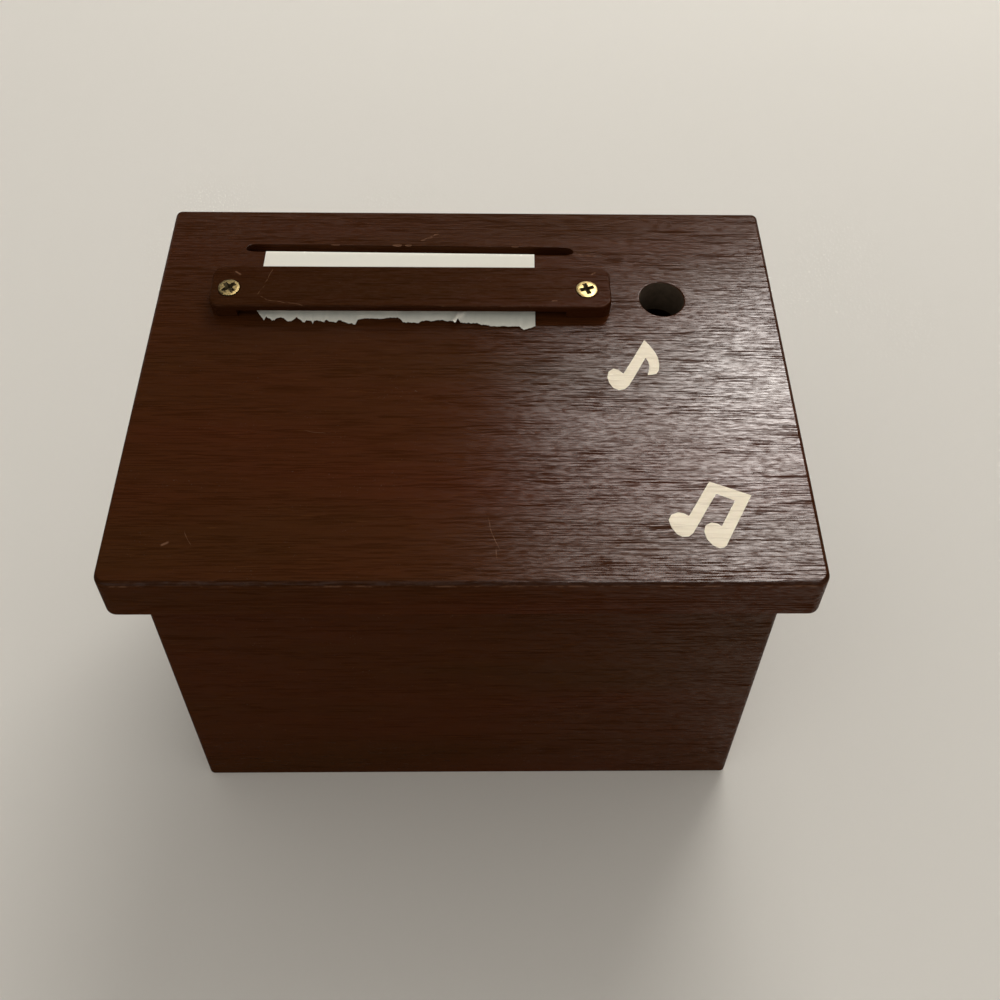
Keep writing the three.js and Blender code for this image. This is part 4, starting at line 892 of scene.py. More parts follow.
HINGES = ("left", "right")
BAR_SCREWS = {"left": (-48.0, 64.6), "right": (24.25, 64.6)}
SCREW_PROUD = 0.25 * MM
SCREW_PILOT = 1.15 * MM
SINK_RADIUS, SINK_DEPTH = 2.35 * MM, 1.35 * MM
LEAF_REACH = 6.3 * MM
LEAF_MARGIN = 0.3 * MM
KNUCKLE_ROOM = 1.7 * MM

# Places on the lid: across and from its front edge, in millimetres
BAR_FRONT, BAR_REAR = 59.84, 70.84
RELIEF_LEFT, RELIEF_RIGHT = -46.25, 20.05
HOLE_PLACE = (40.1, 65.04)
SLOT_MIDDLE = (-12.3, 78.8)

# The paper slot's outline, worn at its ends: across and from the lid's front edge, in millimetres
SLOT = (
    (-46.95, 78.6), (-46.9, 79.2), (-46.5, 79.8), (-45.4, 80.1), (-30, 80.02), (-8, 79.85), (19.7, 79.65),
    (21, 79.55), (21.85, 79.2), (22.35, 78.7), (22.45, 78.15), (22.1, 77.6), (20.8, 77.25), (-10, 77.6),
    (-44.2, 77.9), (-45.9, 78), (-46.6, 78.25),
)

# Splinters broken out at the slot: across, from the lid's front edge, length, width and depth, in millimetres,
# and their turn in radians
CHIPS = (
    (-15.1, 80.0, 2.2, 0.7, 0.40, 0.05),
    (-12.7, 79.97, 1.6, 0.5, 0.35, 0.05),
    (-9.6, 81.6, 1.3, 0.35, 0.18, 0.3),
    (-6.8, 83.2, 1.5, 0.35, 0.18, 0.3),
    (-28.3, 80.02, 2.4, 0.35, 0.3, 0.05),
    (10.0, 79.72, 1.8, 0.4, 0.3, 0.05),
    (24.9, 78.05, 5.2, 0.5, 0.6, 0.05),
)


def outline(name, points, height):
    """A flat face drawn point by point over the lid, at a height."""
    only()
    bpy.ops.mesh.primitive_plane_add(size=MM)
    face = named(name)
    places = [Vector((x * MM, up_lid(front), height)) for x, front in points]
    with shaping(face, "SELECT"):
        bpy.ops.mesh.merge(type="CENTER")
        bpy.ops.transform.translate(value=places[0])
        for before, after in zip(places, places[1:]):
            bpy.ops.mesh.extrude_vertices_move(TRANSFORM_OT_translate={"value": after - before})
        bpy.ops.mesh.select_all(action="SELECT")
        bpy.ops.mesh.edge_face_add()
        turn_out()
    return face


def prism(name, points, low, high):
    """A solid drawn out of an outline, from one height to another."""
    piece = outline(name, points, low)
    with shaping(piece, "SELECT"):
        bpy.ops.mesh.extrude_region_move(TRANSFORM_OT_translate={"value": (0, 0, high - low)})
        turn_out()
    return piece


def mortise_cutters(side):
    """What each hinge's leaf and knuckles take out of the lid's underside or the back's top."""
    under, over = (-1 * MM, 1.5 * MM) if side == "lid" else (-1.5 * MM, 1 * MM)
    cutters = []
    for hand in HINGES:
        low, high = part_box(f"hinge_leaf_case_{hand}")
        left, right = low.x - LEAF_MARGIN, high.x + LEAF_MARGIN
        _, y, z = HINGE_PIN
        bed = block("bed", (left, y - LEAF_REACH, under), (right, y + 2 * MM, over))
        room = rod("room", KNUCKLE_ROOM, (left, y, z), (right, y, z))
        cutters += [settle(bed, LID_FRAME), settle(room, LID_FRAME)]
    return cutters


def chip_cutters():
    """The splinters that are missing from the lid."""
    cutters = []
    for x, front, size, width, depth, turn in CHIPS:
        only()
        bpy.ops.mesh.primitive_ico_sphere_add(
            subdivisions=2,
            radius=1,
            location=(x * MM, up_lid(front), LID_THICKNESS + 0.05 * MM),
            scale=(size / 2 * MM, width / 2 * MM, depth * MM),
            rotation=(0.2, 0.1, turn),
        )
        chip = settle(named("chip"))
        dress(chip, torn_wood())
        cutters.append(chip)
    return cutters


def screw_place(hand):
    """Where a tear bar screw stands, in the lid's own coordinates, at the top of its head."""
    x, front = BAR_SCREWS[hand]
    return Vector((x * MM, up_lid(front), BAR_TOP + SCREW_PROUD))


class MEMOBOX_OT_lid(Operator):
    """Models the lid: a plumb-ended board with rounded edges, a paper slot and a pencil hole"""

    bl_idname = "memobox.lid"
    bl_label = "Lid"

    def execute(self, context):
        sizes = context.scene.memobox_boards
        lid = self.board(sizes)
        self.openings(lid, sizes)
        pilots = []
        for hand in BAR_SCREWS:
            x, y, _ = screw_place(hand)
            pilots.append(upright("pilot", SCREW_PILOT, x, y, 3 * MM, LID_THICKNESS + MM, 24))
        carve(lid, *pilots, *chip_cutters())
        settle(lid, LID_FRAME)
        carve(lid, *mortise_cutters("lid"))
        downward = LID_FRAME.to_3x3() @ Vector((0, 0, -1))
        paint_faces(lid, 1, lambda centre, normal: normal.dot(downward) > 0.95)
        finished(lid, "lid", "lacquered_wood", stands_for=["lid_board"])
        return {"FINISHED"}

    def board(self, sizes):
        """The board with its plumb ends and its rounded edges."""
        top = LID_THICKNESS
        front, rear = ((place.y - FRONT_LOW.y) / math.cos(SLOPE) for place in (LID_LOW, LID_HIGH))
        middle = (front + rear) / 2
        lid = block("lid", (LID_LOW.x, front, 0), (LID_HIGH.x, rear, top))
        with shaping(lid):
            choose(lid, "VERT", lambda vertex: vertex.co.z > top / 2)
            bpy.ops.transform.translate(value=(0, top * math.tan(SLOPE), 0))
        round_edges(lid, sizes.lid_corner_round, 8, lambda a, b: abs(a.z - b.z) > top / 2 and a.y < middle)
        round_edges(lid, sizes.lid_rear_round, 6, lambda a, b: abs(a.z - b.z) > top / 2 and a.y > middle)
        round_edges(lid, sizes.lid_top_round, 7, lambda a, b: min(a.z, b.z) > top - SLIGHT)
        clear = rear - 0.1 * MM
        round_edges(lid, sizes.lid_bottom_round, 3, lambda a, b: max(a.z, b.z) < SLIGHT and min(a.y, b.y) < clear)
        return lid

    def openings(self, lid, sizes):
        """The paper slot and the pencil hole, with their broken edges and the finishes of their walls."""
        top = LID_THICKNESS
        x, y = HOLE_PLACE[0] * MM, up_lid(HOLE_PLACE[1])
        hole = upright("hole", sizes.hole_diameter / 2, x, y, -MM, top + MM, 72)
        carve(lid, prism("slot", SLOT, -MM, top + MM), hole)

        middle_x, middle_y = SLOT_MIDDLE[0] * MM, up_lid(SLOT_MIDDLE[1])

        def by_slot(place):
            return abs(place.x - middle_x) < 36 * MM and abs(place.y - middle_y) < 1.5 * MM

        def by_hole(place):
            return math.hypot(place.x - x, place.y - y) < sizes.hole_diameter / 2 + 0.01 * MM

        for near, radius, segments in ((by_slot, sizes.slot_edge, 3), (by_hole, sizes.hole_edge, 4)):
            round_edges(
                lid,
                radius,
                segments,
                lambda a, b, near=near: near(a) and near(b) and min(a.z, b.z) > top - SLIGHT,
            )
        dress(lid, lacquer("lid"), thin_stain(), torn_wood(), greyed_bore())
        paint_faces(lid, 3, lambda centre, normal: by_hole(centre) and abs(normal.z) < 0.5)


class MEMOBOX_OT_tear_bar(Operator):
    """Models the tear bar: a flat stick with a relief for the paper and two countersunk holes"""

    bl_idname = "memobox.tear_bar"
    bl_label = "Tear Bar"

    def execute(self, context):
        sizes = context.scene.memobox_boards
        low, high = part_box("tear_bar")
        under = LID_THICKNESS + JOINT_GAP / 2
        front, rear = up_lid(BAR_FRONT), up_lid(BAR_REAR)
        bar = block("tear_bar_stick", (low.x, front, under), (high.x, rear, BAR_TOP))
        round_edges(bar, sizes.bar_corner_round, 6, lambda a, b: abs(a.z - b.z) > MM)
        round_edges(bar, sizes.bar_edge_round, 4, lambda a, b: min(a.z, b.z) > BAR_TOP - SLIGHT)
        relief_high = (RELIEF_RIGHT * MM, rear + MM, LID_THICKNESS + 1.8 * MM)
        cutters = [block("relief", (RELIEF_LEFT * MM, front - MM, under - MM), relief_high)]
        for hand in BAR_SCREWS:
            x, y, _ = screw_place(hand)
            cutters.append(upright("hole", SCREW_PILOT, x, y, under - MM, BAR_TOP + MM))
            sink_foot, sink_rim = BAR_TOP - SINK_DEPTH, BAR_TOP + 0.02 * MM
            cutters.append(upright("sink", 1.2 * MM, x, y, sink_foot, sink_rim, 48, SINK_RADIUS))
        carve(bar, *cutters)
        soften(bar, 0.12 * MM, 1, 40)
        settle(bar, LID_FRAME)
        finished(bar, "lid", "lacquered_wood", lacquer("bar"), stands_for=["tear_bar"])
        return {"FINISHED"}


# ---- Case ----


class MEMOBOX_OT_case(Operator):
    """Models the four boards of the case, cut to the slope of the lid"""

    bl_idname = "memobox.case"
    bl_label = "Case Boards"

    def execute(self, context):
        sizes = context.scene.memobox_boards
        slope_cut = {"plane_co": (0, FRONT_LOW.y, FRONT_TOP), "plane_no": (0, -math.sin(SLOPE), math.cos(SLOPE))}
        for name, node, part, inward in (
            ("front_board", "front_panel", "long", (0, 1, 0)),
            ("back_board", "back_panel", "long", (0, -1, 0)),
            ("left_board", "left_side", "side", (1, 0, 0)),
            ("right_board", "right_side", "side", (-1, 0, 0)),
        ):
            low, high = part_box(node)
            inward = Vector(inward)
            board = block(name, low, high)
            with shaping(board, "SELECT"):
                bpy.ops.mesh.bisect(**slope_cut, use_fill=True, clear_outer=True)
            if part == "long":
                face = low.y if inward.y > 0 else high.y
                round_edges(
                    board,
                    sizes.case_corner_round,
                    6,
                    lambda a, b, face=face: abs(a.z - b.z) > 20 * MM and abs(a.y - face) < 0.01 * MM,
                )
            if node == "back_panel":
                carve(board, *mortise_cutters("case"))
            soften(board, sizes.seam, 2, 50)
            dress(board, lacquer(part), thin_stain())
            paint_faces(board, 1, lambda point, normal, inward=inward: normal.dot(inward) > 0.9)
            finished(board, "case", "lacquered_wood", stands_for=[node])
        return {"FINISHED"}


class MEMOBOX_OT_inside_wood(Operator):
    """Finishes the bottom board and the two cheeks, and turns the dowel that the roll hangs on"""

    bl_idname = "memobox.inside_wood"
    bl_label = "Bottom, Cheeks and Dowel"

    def execute(self, context):
        dressed("bottom_board", 0.25 * MM, bare_wood(0))
        dressed("roll_cheek_left", 0.35 * MM, bare_wood(90))
        dressed("roll_cheek_right", 0.35 * MM, bare_wood(90))
        low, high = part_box("roll_spindle")
        _, y, z = (low + high) / 2
        dowel = rod("roll_dowel", (high.z - low.z) / 2, (low.x, y, z), (high.x, y, z), 56)
        round_edges(dowel, 0.8 * MM, 3, lambda a, b: abs(a.x - b.x) < SLIGHT)
        finished(dowel, "case", "bare_wood", bare_wood(0), stands_for=["roll_spindle"])
        return {"FINISHED"}


class MEMOBOX_OT_hinges(Operator):
    """Finishes the leaves and pins of the two hinges"""

    bl_idname = "memobox.hinges"
    bl_label = "Hinges"

    def execute(self, context):
        for hand in HINGES:
            dressed(f"hinge_leaf_case_{hand}", 0.08 * MM, hinge_brass())
            dressed(f"hinge_leaf_lid_{hand}", 0.08 * MM, hinge_brass())
            dressed(f"hinge_pin_{hand}", 0.12 * MM, hinge_brass())
        return {"FINISHED"}


# ---- Paper ----

# The torn end: across and from the lid's front edge, in millimetres
TORN_EDGE = (
    (-42.6, 61.2), (-42.1, 60.4), (-41.4, 59.4), (-40.7, 58.4), (-40.5, 59.3), (-39.8, 59), (-39.2, 58.4),
    (-38.7, 58.5), (-38.2, 59.3), (-37.7, 59.5), (-37.1, 59.3), (-36.3, 58.7), (-35.5, 58.4), (-35, 58.7),
    (-34.4, 59.5), (-33.7, 58.8), (-32.7, 57.9), (-32.5, 58.6), (-31.4, 58.6), (-31, 57.8), (-30.8, 58.6),
    (-30.2, 58.7), (-28.7, 58.3), (-28.5, 58.9), (-28, 58.5), (-26.2, 58.1), (-25.9, 58.9), (-25.1, 58.4),
    (-24.2, 58), (-22.5, 57.8), (-22.1, 58.9), (-21.4, 59.2), (-18.7, 59.1), (-16.8, 59.3), (-16.1, 59.6),
    (-14.1, 59.5), (-13.3, 59), (-12.9, 58.2), (-9.7, 58.1), (-9, 58.8), (-7.2, 58.6), (-6.4, 58.8),
    (-3.5, 58.6), (-3.2, 58.1), (-2.7, 57.3), (-2.2, 57.3), (-1.9, 58.4), (-0.3, 58.1), (1.6, 58),
    (3.4, 57.6), (6.3, 57.3), (8.7, 57.2), (10.4, 57.3), (11, 56.8), (11.5, 56.5), (12.4, 56.7),
    (13.5, 57.3), (14.3, 57.3),
)

# The paper's line over the lid: from the lid's front edge, and off the board's top, in millimetres
LINE_ON_LID = (
    (78.34, -4), (78.30, -0.5), (77.95, 0.16), (77.20, 0.24), (74.6, 0.20), (70.9, 0.35),
    (66.7, 0.60), (61.8, 0.55), (59.5, 0.30), (57.1, 0.16),
)
PAPER_COLUMNS = 280
CURL_WIDTH = 9 * MM
TEAR_START = up_lid(61.3)
# Where the tear bar's painted shade on the paper begins
PAINTED_SHADE_START = up_lid(60.9)


def torn_end(x):
    """Where up the lid the paper ends, at a place across it."""
    points = TORN_EDGE
    x = held(x / MM, points[0][0], points[-1][0])
    for (x0, y0), (x1, y1) in zip(points, points[1:]):
        if x <= x1:
            return up_lid(y0 + (y1 - y0) * (x - x0) / (x1 - x0))
    return up_lid(points[-1][1])


def smooth_path(points, step):
    """Points a step apart on a smooth curve through the given ones."""
    fine = []
    for i in range(len(points) - 1):
        before, start = points[max(i - 1, 0)], points[i]
        end, after = points[i + 1], points[min(i + 2, len(points) - 1)]
        leaving, arriving = (end - before) / 2, (after - start) / 2
        count = max(2, int((end - start).length / step))
        for k in range(count):
            t = k / count
            fine.append(
                start * (2 * t**3 - 3 * t**2 + 1)
                + leaving * (t**3 - 2 * t**2 + t)
                + end * (3 * t**2 - 2 * t**3)
                + arriving * (t**3 - t**2)
            )
    fine.append(points[-1].copy())
    return fine


def paper_path(roll_radius):
    """The line that the paper follows, as (y, z), from the rear of the roll to its torn end."""
    radius = roll_radius + 0.35 * MM
    wrap = [math.radians(a) for a in (-34, -24, -14, -4)]
    roll = [Vector((ROLL_AXIS.y + radius * math.cos(a), ROLL_AXIS.z + radius * math.sin(a))) for a in wrap]
    heights = [(78.38, -0.6 * MM)] + [(front, LID_THICKNESS + off * MM) for front, off in LINE_ON_LID]
    lid = [(LID_FRAME @ Vector((0, up_lid(front), height))).yz for front, height in heights]
    sag = 0.25 * MM
    rise = [roll[-1].lerp(lid[0], t) + Vector((sag * math.sin(math.pi * t), 0)) for t in (0.35, 0.7)]
    return smooth_path(roll + rise + lid, 0.75 * MM)


class MEMOBOX_OT_paper(Operator):
    """Models the memo paper: off the roll, up through the slot, under the bar, to its torn end"""

    bl_idname = "memobox.paper"
    bl_label = "Memo Paper"

    def execute(self, context):
        sizes = context.scene.memobox_paper
        low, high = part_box("paper_roll")
        left = (low.x + high.x - sizes.width) / 2
        path = paper_path(ROLL_AXIS.z - low.z)
        rows = len(path) - 1
        only()
        bpy.ops.mesh.primitive_grid_add(x_subdivisions=PAPER_COLUMNS, y_subdivisions=rows, size=1)
        sheet = named("memo_paper_sheet")
        dice = random.Random(7)
        fray = [dice.uniform(-0.14, 0.14) * MM for _ in range(PAPER_COLUMNS + 1)]
        # How much of the tear bar's painted shade each point of the torn end gets
        painted_shade = sheet.data.attributes.new("PaintedShade", "FLOAT", "POINT")
        to_lid = LID_FRAME.inverted()
        for vertex in sheet.data.vertices:
            column = round((vertex.co.x + 0.5) * PAPER_COLUMNS)
            row = round((vertex.co.y + 0.5) * rows)
            x = left + sizes.width * column / PAPER_COLUMNS
            place, last = (to_lid @ Vector((x, *path[number])) for number in (row, -1))
            slant = self.drift(place, x)
            if row > len(path) // 2 and place.y < TEAR_START:
                t = (TEAR_START - place.y) / (TEAR_START - last.y + slant)
                place.y = TEAR_START + (torn_end(x) + fray[column] - TEAR_START) * t
                curl = sizes.lift * max(0.0, 1 - (x - left) / CURL_WIDTH) ** 2 * t**1.5
                painted_shade.data[vertex.index].value = self.ruffle(place, x, t, curl)
            vertex.co = LID_FRAME @ place
        apply_modifier(sheet, "SOLIDIFY", thickness=sizes.thickness, offset=0)
        smooth(sheet)
        dress(sheet, paper())
        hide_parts("paper_strip", "paper_web")
        slot_foot = LID_FRAME @ Vector((0, up_lid(78.2), -0.5 * MM))
        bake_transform(sheet)
        run = sum((b - a).length for a, b in zip(path, path[1:]))
        return {"FINISHED"}

    def drift(self, place, x):
        """Lets the paper run a little aslant as it rises to the lid, and gives how far forward it went."""
        risen = held(1 + (place.z + MM) / (12 * MM))
        slant = (0.28 + 0.52 * (x + 43 * MM) / (57 * MM)) * MM
        place.y -= slant * risen
        place.x += 0.35 * MM * risen * held((place.y - up_lid(58)) / (20 * MM))
        return slant

    def ruffle(self, place, x, t, curl):
        """Lifts the torn end into waves, a curled corner and one raised strip, and gives how strong the tear bar's
        painted shade is there.
        """
        strip = held(1.7 - abs(x / MM + 2.4 - 1.6 * (1 - t)) / 0.65)
        waves = 0.10 * (1 + math.sin(x / MM * 0.9)) + 0.05 * (1 + math.sin(x / MM * 3.7))
        place.z += curl + (1.3 * strip + waves) * MM * t
        # Painted shade: full just in front of the bar, fading towards the torn edge, and kept off the raised strip
        return held((PAINTED_SHADE_START - place.y) / (0.6 * MM)) * (1 - strip) * (1 - 0.7 * t)


class MEMOBOX_OT_paper_roll(Operator):
    """Models the wound roll and finishes its card core"""

    bl_idname = "memobox.paper_roll"
    bl_label = "Paper Roll"

    def execute(self, context):
        low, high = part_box("paper_roll")
        core_low, core_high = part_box("roll_core")
        _, y, z = ROLL_AXIS
        roll = rod("wound_roll", (high.z - low.z) / 2, (low.x, y, z), (high.x, y, z), 128)
        inner = (core_high.z - core_low.z) / 2 + 0.1 * MM
        carve(roll, rod("bore", inner, (low.x - MM, y, z), (high.x + MM, y, z), 96))
        soften(roll, 0.2 * MM, 2, 50)
        finished(roll, "roll", "paper", wound_paper(), stands_for=["paper_roll"])
        dressed("roll_core", 0.12 * MM, card())
        return {"FINISHED"}


# ---- Printed notes ----

# Outlines of the printed notes: across and from the lid's front edge, in millimetres
NOTES = {
    "printed_single_note": (
        (35.5, 54.06), (36.5, 52.62), (37.35, 51.03), (37.85, 49.5), (37.95, 47.97), (37.76, 46.53),
        (37.21, 45.54), (36.37, 45.3), (35.42, 45.15), (35.82, 46.44), (35.96, 47.53), (35.81, 48.62),
        (35.41, 49.56), (33.97, 46.94), (32.68, 44.57), (31.54, 42.59), (30.7, 41.75), (29.6, 41.46),
        (28.51, 41.96), (27.76, 43.24), (27.46, 44.68), (27.8, 46.02), (28.8, 46.76), (29.79, 46.46),
        (30.69, 45.51), (32.38, 48.43), (33.97, 51.29),
    ),
    "printed_paired_notes": (
        (44.53, 20.67), (48.17, 19.22), (51.86, 17.73), (49.98, 14.41), (47.99, 10.94), (46.01, 7.43),
        (45.46, 6.98), (44.67, 6.88), (43.57, 7.48), (42.67, 8.77), (42.37, 10.31), (42.81, 11.55),
        (43.96, 12.09), (45, 11.84), (45.65, 11.3), (47.19, 13.97), (48.73, 16.6), (45.49, 18.04),
        (43.7, 15.27), (42.01, 12.49), (40.37, 9.87), (39.53, 9.22), (38.43, 9.18), (37.53, 9.67),
        (36.68, 11.01), (36.28, 12.6), (36.88, 13.69), (38.12, 14.19), (39.22, 13.94), (40.02, 13.39),
        (41.51, 15.77), (43, 18.19),
    ),
}


class MEMOBOX_OT_notes(Operator):
    """Prints a single note and a pair of beamed notes on the lid, as a thin film of ink"""

    bl_idname = "memobox.notes"
    bl_label = "Printed Notes"

    def execute(self, context):
        for name, points in NOTES.items():
            film = outline(name, points, LID_THICKNESS + 0.02 * MM)
            with shaping(film, "SELECT"):
                bpy.ops.mesh.bevel(offset=0.16 * MM, segments=3, affect="VERTICES")
            apply_modifier(film, "SOLIDIFY", thickness=0.03 * MM, offset=0)
            settle(film, LID_FRAME)
            finished(film, "lid", "lacquered_wood", print_ink())
        return {"FINISHED"}


# ---- Screws ----


def screw_body(name, head, head_height, shank, length_below, countersunk):
    """A screw that stands on its point below Z = 0, turned from one circle by extruding and scaling."""
    seat = shank if countersunk else head
    rim = 0.15 * MM if countersunk else head_height * 0.35
    profile = [
        (shank * 0.25, -length_below),
        (shank, -length_below + shank * 1.4),
        (shank, -head_height),
        (seat * 1.001, -head_height),
        (head, -rim),
        (head * 0.93, -rim * 0.35),
        (head * 0.72, -rim * 0.08),
        (head * 0.4, 0),
    ]
    point, foot = profile[0]
    only()
    bpy.ops.mesh.primitive_circle_add(vertices=40, radius=point, location=(0, 0, foot), fill_type="NGON")
    screw = settle(named(name))
    with shaping(screw, "SELECT"):
        for (r0, z0), (r1, z1) in zip(profile, profile[1:]):
            bpy.ops.mesh.extrude_region_move(TRANSFORM_OT_translate={"value": (0, 0, z1 - z0)})
            bpy.ops.transform.resize(value=(r1 / r0, r1 / r0, 1), center_override=(0, 0, z1))
        turn_out()
    return screw


def cut_recess(screw, kind, size, depth, turn):
    """Cuts a cross or a slot into a screw's head, turned by an angle in degrees."""
    angles, width, reach, shrink = {"cross": ((0, 90), 0.24, 0.88, 0.35), "slot": ((0,), 0.16, 1.2, 1.0)}[kind]
    width, reach = size * width, size * reach
    for angle in angles:
        arm = block("recess", (-reach, -width, -depth), (reach, width, 0.5 * MM))
        with shaping(arm):
            choose(arm, "VERT", lambda vertex: vertex.co.z < 0)
            bpy.ops.transform.resize(value=(shrink, 0.7, 1), center_override=(0, 0, -depth))
        settle(arm, Matrix.Rotation(math.radians(turn + angle), 4, "Z"))
        carve(screw, arm)


def screw_at(node, matrix, size, kind, turn, material):
    """One finished screw in a frame screw's place, whose matrix puts the top of its head there.
    size is its head's radius and height, its shank's radius and its length, in millimetres."""
    head, head_height, shank, length_below = (number * MM for number in size)
    countersunk = node.startswith(("tear_bar", "hinge"))
    screw = screw_body(f"{node}_cut", head, head_height, shank, length_below, countersunk)
    cut_recess(screw, kind, head, head_height * 0.85, turn)
    soften(screw, 0.035 * MM, 1, 38)
    dress(screw, material, shaded_recess_metal())

    def in_recess(centre, normal):
        return math.hypot(centre.x, centre.y) < 0.70 * head and -head_height < centre.z < -0.06 * MM

    # The recess faces get the dark metal: grime, and painted shade where the recess lies in shadow
    paint_faces(screw, 1, in_recess)
    settle(screw, matrix)
    finished(screw, BODY_OF[node], SLOT_OF[node], stands_for=[node], angle=30)


class MEMOBOX_OT_bar_screws(Operator):
    """Models the two brass cross-head screws of the tear bar"""

    bl_idname = "memobox.bar_screws"
    bl_label = "Tear Bar Screws"

    def execute(self, context):
        tone = finishes().screw_brass
        dull = metal("Dulled screw brass", tuple(part * 0.30 for part in tone), 0.46, 0.5)
        bright = metal("Bright screw brass", tuple(part * 0.62 for part in tone), 0.38, 0.35)
        for hand, turn, material in (("left", 42, dull), ("right", 18, bright)):
            matrix = LID_FRAME @ Matrix.Translation(screw_place(hand))
            screw_at(f"tear_bar_screw_{hand}", matrix, (2.15, 1.3, 1, 9), "cross", turn, material)
        return {"FINISHED"}


class MEMOBOX_OT_hinge_screws(Operator):
    """Models the eight small countersunk screws of the hinges"""

    bl_idname = "memobox.hinge_screws"
    bl_label = "Hinge Screws"

    def execute(self, context):
        dice = random.Random(11)
        y = HINGE_PIN.y - 4 * MM
        for side, height, flip in (("case", -JOINT_GAP, 0), ("lid", JOINT_GAP, math.pi)):
            for hand in HINGES:
                for number in (1, 2):
                    node = f"hinge_screw_{side}_{hand}_{number}"
                    low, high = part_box(node)
                    place = Matrix.Translation(((low.x + high.x) / 2, y, height))
                    matrix = LID_FRAME @ place @ Matrix.Rotation(flip, 4, "X")
                    turn = dice.uniform(0, 180)
                    screw_at(node, matrix, (1.35, 0.8, 0.7, 4.6), "slot", turn, hinge_brass())
        return {"FINISHED"}


class MEMOBOX_OT_movement_screws(Operator):
    """Models the slotted steel screws of the movement, of the comb and of the lever's bracket"""

    bl_idname = "memobox.movement_screws"
    bl_label = "Movement Screws"

    def execute(self, context):
        comb, fixing = (1.9, 1.2, 1.0, 5.6), (2.8, 1.6, 1.3, 9.6)
        for node, size, turn in (
            ("comb_screw_1", comb, 25),
            ("comb_screw_2", comb, 110),
            ("governor_frame_screw", (1.8, 1.1, 0.9, 3.8), 70),
            ("movement_screw_1", fixing, 15),
            ("movement_screw_2", fixing, 80),
            ("movement_screw_3", fixing, 130),
            ("lever_bracket_screw", (2.0, 1.2, 1.0, 5.2), 50),
        ):
            low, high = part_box(node)
            x, y, _ = (low + high) / 2
            if size == fixing:
                matrix = Matrix.Translation((x, y, low.z)) @ Matrix.Rotation(math.pi, 4, "X")
            else:
                matrix = Matrix.Translation((x, y, high.z))
            screw_at(node, matrix, size, "slot", turn, plain_steel())
        return {"FINISHED"}


# ---- Movement, key and stop lever ----


class MEMOBOX_OT_movement(Operator):
    """Finishes the music movement: bedplate, barrel, cylinder, comb and governor"""

    bl_idname = "memobox.movement"
    bl_label = "Music Movement"

    def execute(self, context):
        dressed("bedplate", 0.25 * MM, cast_zinc())
        dressed("comb", 0.05 * MM, plain_steel(), 1)
        for node in ("spring_barrel", "barrel_cover", "cylinder_wheel", "governor_frame", "governor_wheel"):
            dressed(node, 0.06 * MM, movement_brass(), 1)
        dressed("cylinder_pinion", 0.05 * MM, plain_steel(), 1)
        dressed("cylinder_arbor", 0.15 * MM, plain_steel())
        dressed("fly_fan", 0.1 * MM, fan_plastic())
        dress(frame["nodes"]["pinned_cylinder"], pinned_brass())
        for node in ("mainspring", "fly_shaft"):
            dress(frame["nodes"][node], plain_steel())
        return {"FINISHED"}


class MEMOBOX_OT_worm(Operator):
    """Winds the worm's three threads on the governor's shaft"""

    bl_idname = "memobox.worm"
    bl_label = "Worm Thread"

    def execute(self, context):
        lead, starts, height, radius = 3.77 * MM, 3, 7.2 * MM, 1.22 * MM
        foot = JOINTS["governor_spin"]["pos_m"][2] - 4.4 * MM
        only()
        bpy.ops.mesh.primitive_cylinder_add(vertices=3, radius=0.42 * MM, depth=MM, end_fill_type="NOTHING")
        thread = named("worm_thread")
        with shaping(thread):
            choose(thread, "VERT", lambda vertex: vertex.co.z > 0)
            bpy.ops.mesh.delete(type="VERT")
            bpy.ops.mesh.select_all(action="SELECT")
            bpy.ops.transform.translate(value=(0, 0, MM / 2))
            turn_selected(math.pi / 2, "X")
            turn_selected(math.pi / 2, "Y")
            bpy.ops.transform.translate(value=(radius, 0, 0))
            for _ in range(starts - 1):
                bpy.ops.mesh.duplicate()
                turn_selected(2 * math.pi / starts, "Z")
        coil(thread, height / lead, height, 36, 4)
        settle(thread, Matrix.Translation((FLY_AXIS.x, FLY_AXIS.y, foot)))
        finished(thread, "fly", "steel", plain_steel())
        return {"FINISHED"}


class MEMOBOX_OT_winding(Operator):
    """Finishes the winding key and its arbor"""

    bl_idname = "memobox.winding"
    bl_label = "Winding Key"

    def execute(self, context):
        dressed("winding_key", 0.3 * MM, movement_brass(), 3)
        dressed("winding_arbor", 0.15 * MM, plain_steel())
        return {"FINISHED"}


class MEMOBOX_OT_stop_lever(Operator):
    """Finishes the stop lever and its bracket, and coils the spring under it"""

    bl_idname = "memobox.stop_lever"
    bl_label = "Stop Lever"

    def execute(self, context):
        dressed("stop_lever", 0.15 * MM, movement_brass())
        dressed("lever_bracket", 0.12 * MM, plain_steel())
        dressed("lever_pivot_pin", 0.15 * MM, plain_steel())
        low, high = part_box("lever_spring")
        wire = 0.35 * MM
        only()
        bpy.ops.mesh.primitive_circle_add(vertices=10, radius=wire)
        spring = named("lever_coil")
        with shaping(spring, "SELECT"):
            turn_selected(math.pi / 2, "X")
            bpy.ops.transform.translate(value=((high.x - low.x) / 2 - wire, 0, 0))
        coil(spring, 5, high.z - low.z - 2 * wire, 28, 12)
        settle(spring, Matrix.Translation(((low.x + high.x) / 2, (low.y + high.y) / 2, low.z + wire)))
        finished(spring, "case", "steel", plain_steel(), stands_for=["lever_spring"])
        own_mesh(spring)
        return {"FINISHED"}


# ---- Stage ----

CAMERA_PLACE = Vector((3.031, -150.787, 198.248)) * MM
CAMERA_YAW, CAMERA_PITCH, CAMERA_ROLL = 0.0264, 0.7813, 0.0191
LAMP_TONE = (1, 0.98, 0.95)


def placed(name, data):
    """An object that holds a lamp or a camera."""
    holder = bpy.data.objects.new(name, data)
    bpy.context.scene.collection.objects.link(holder)
    return holder


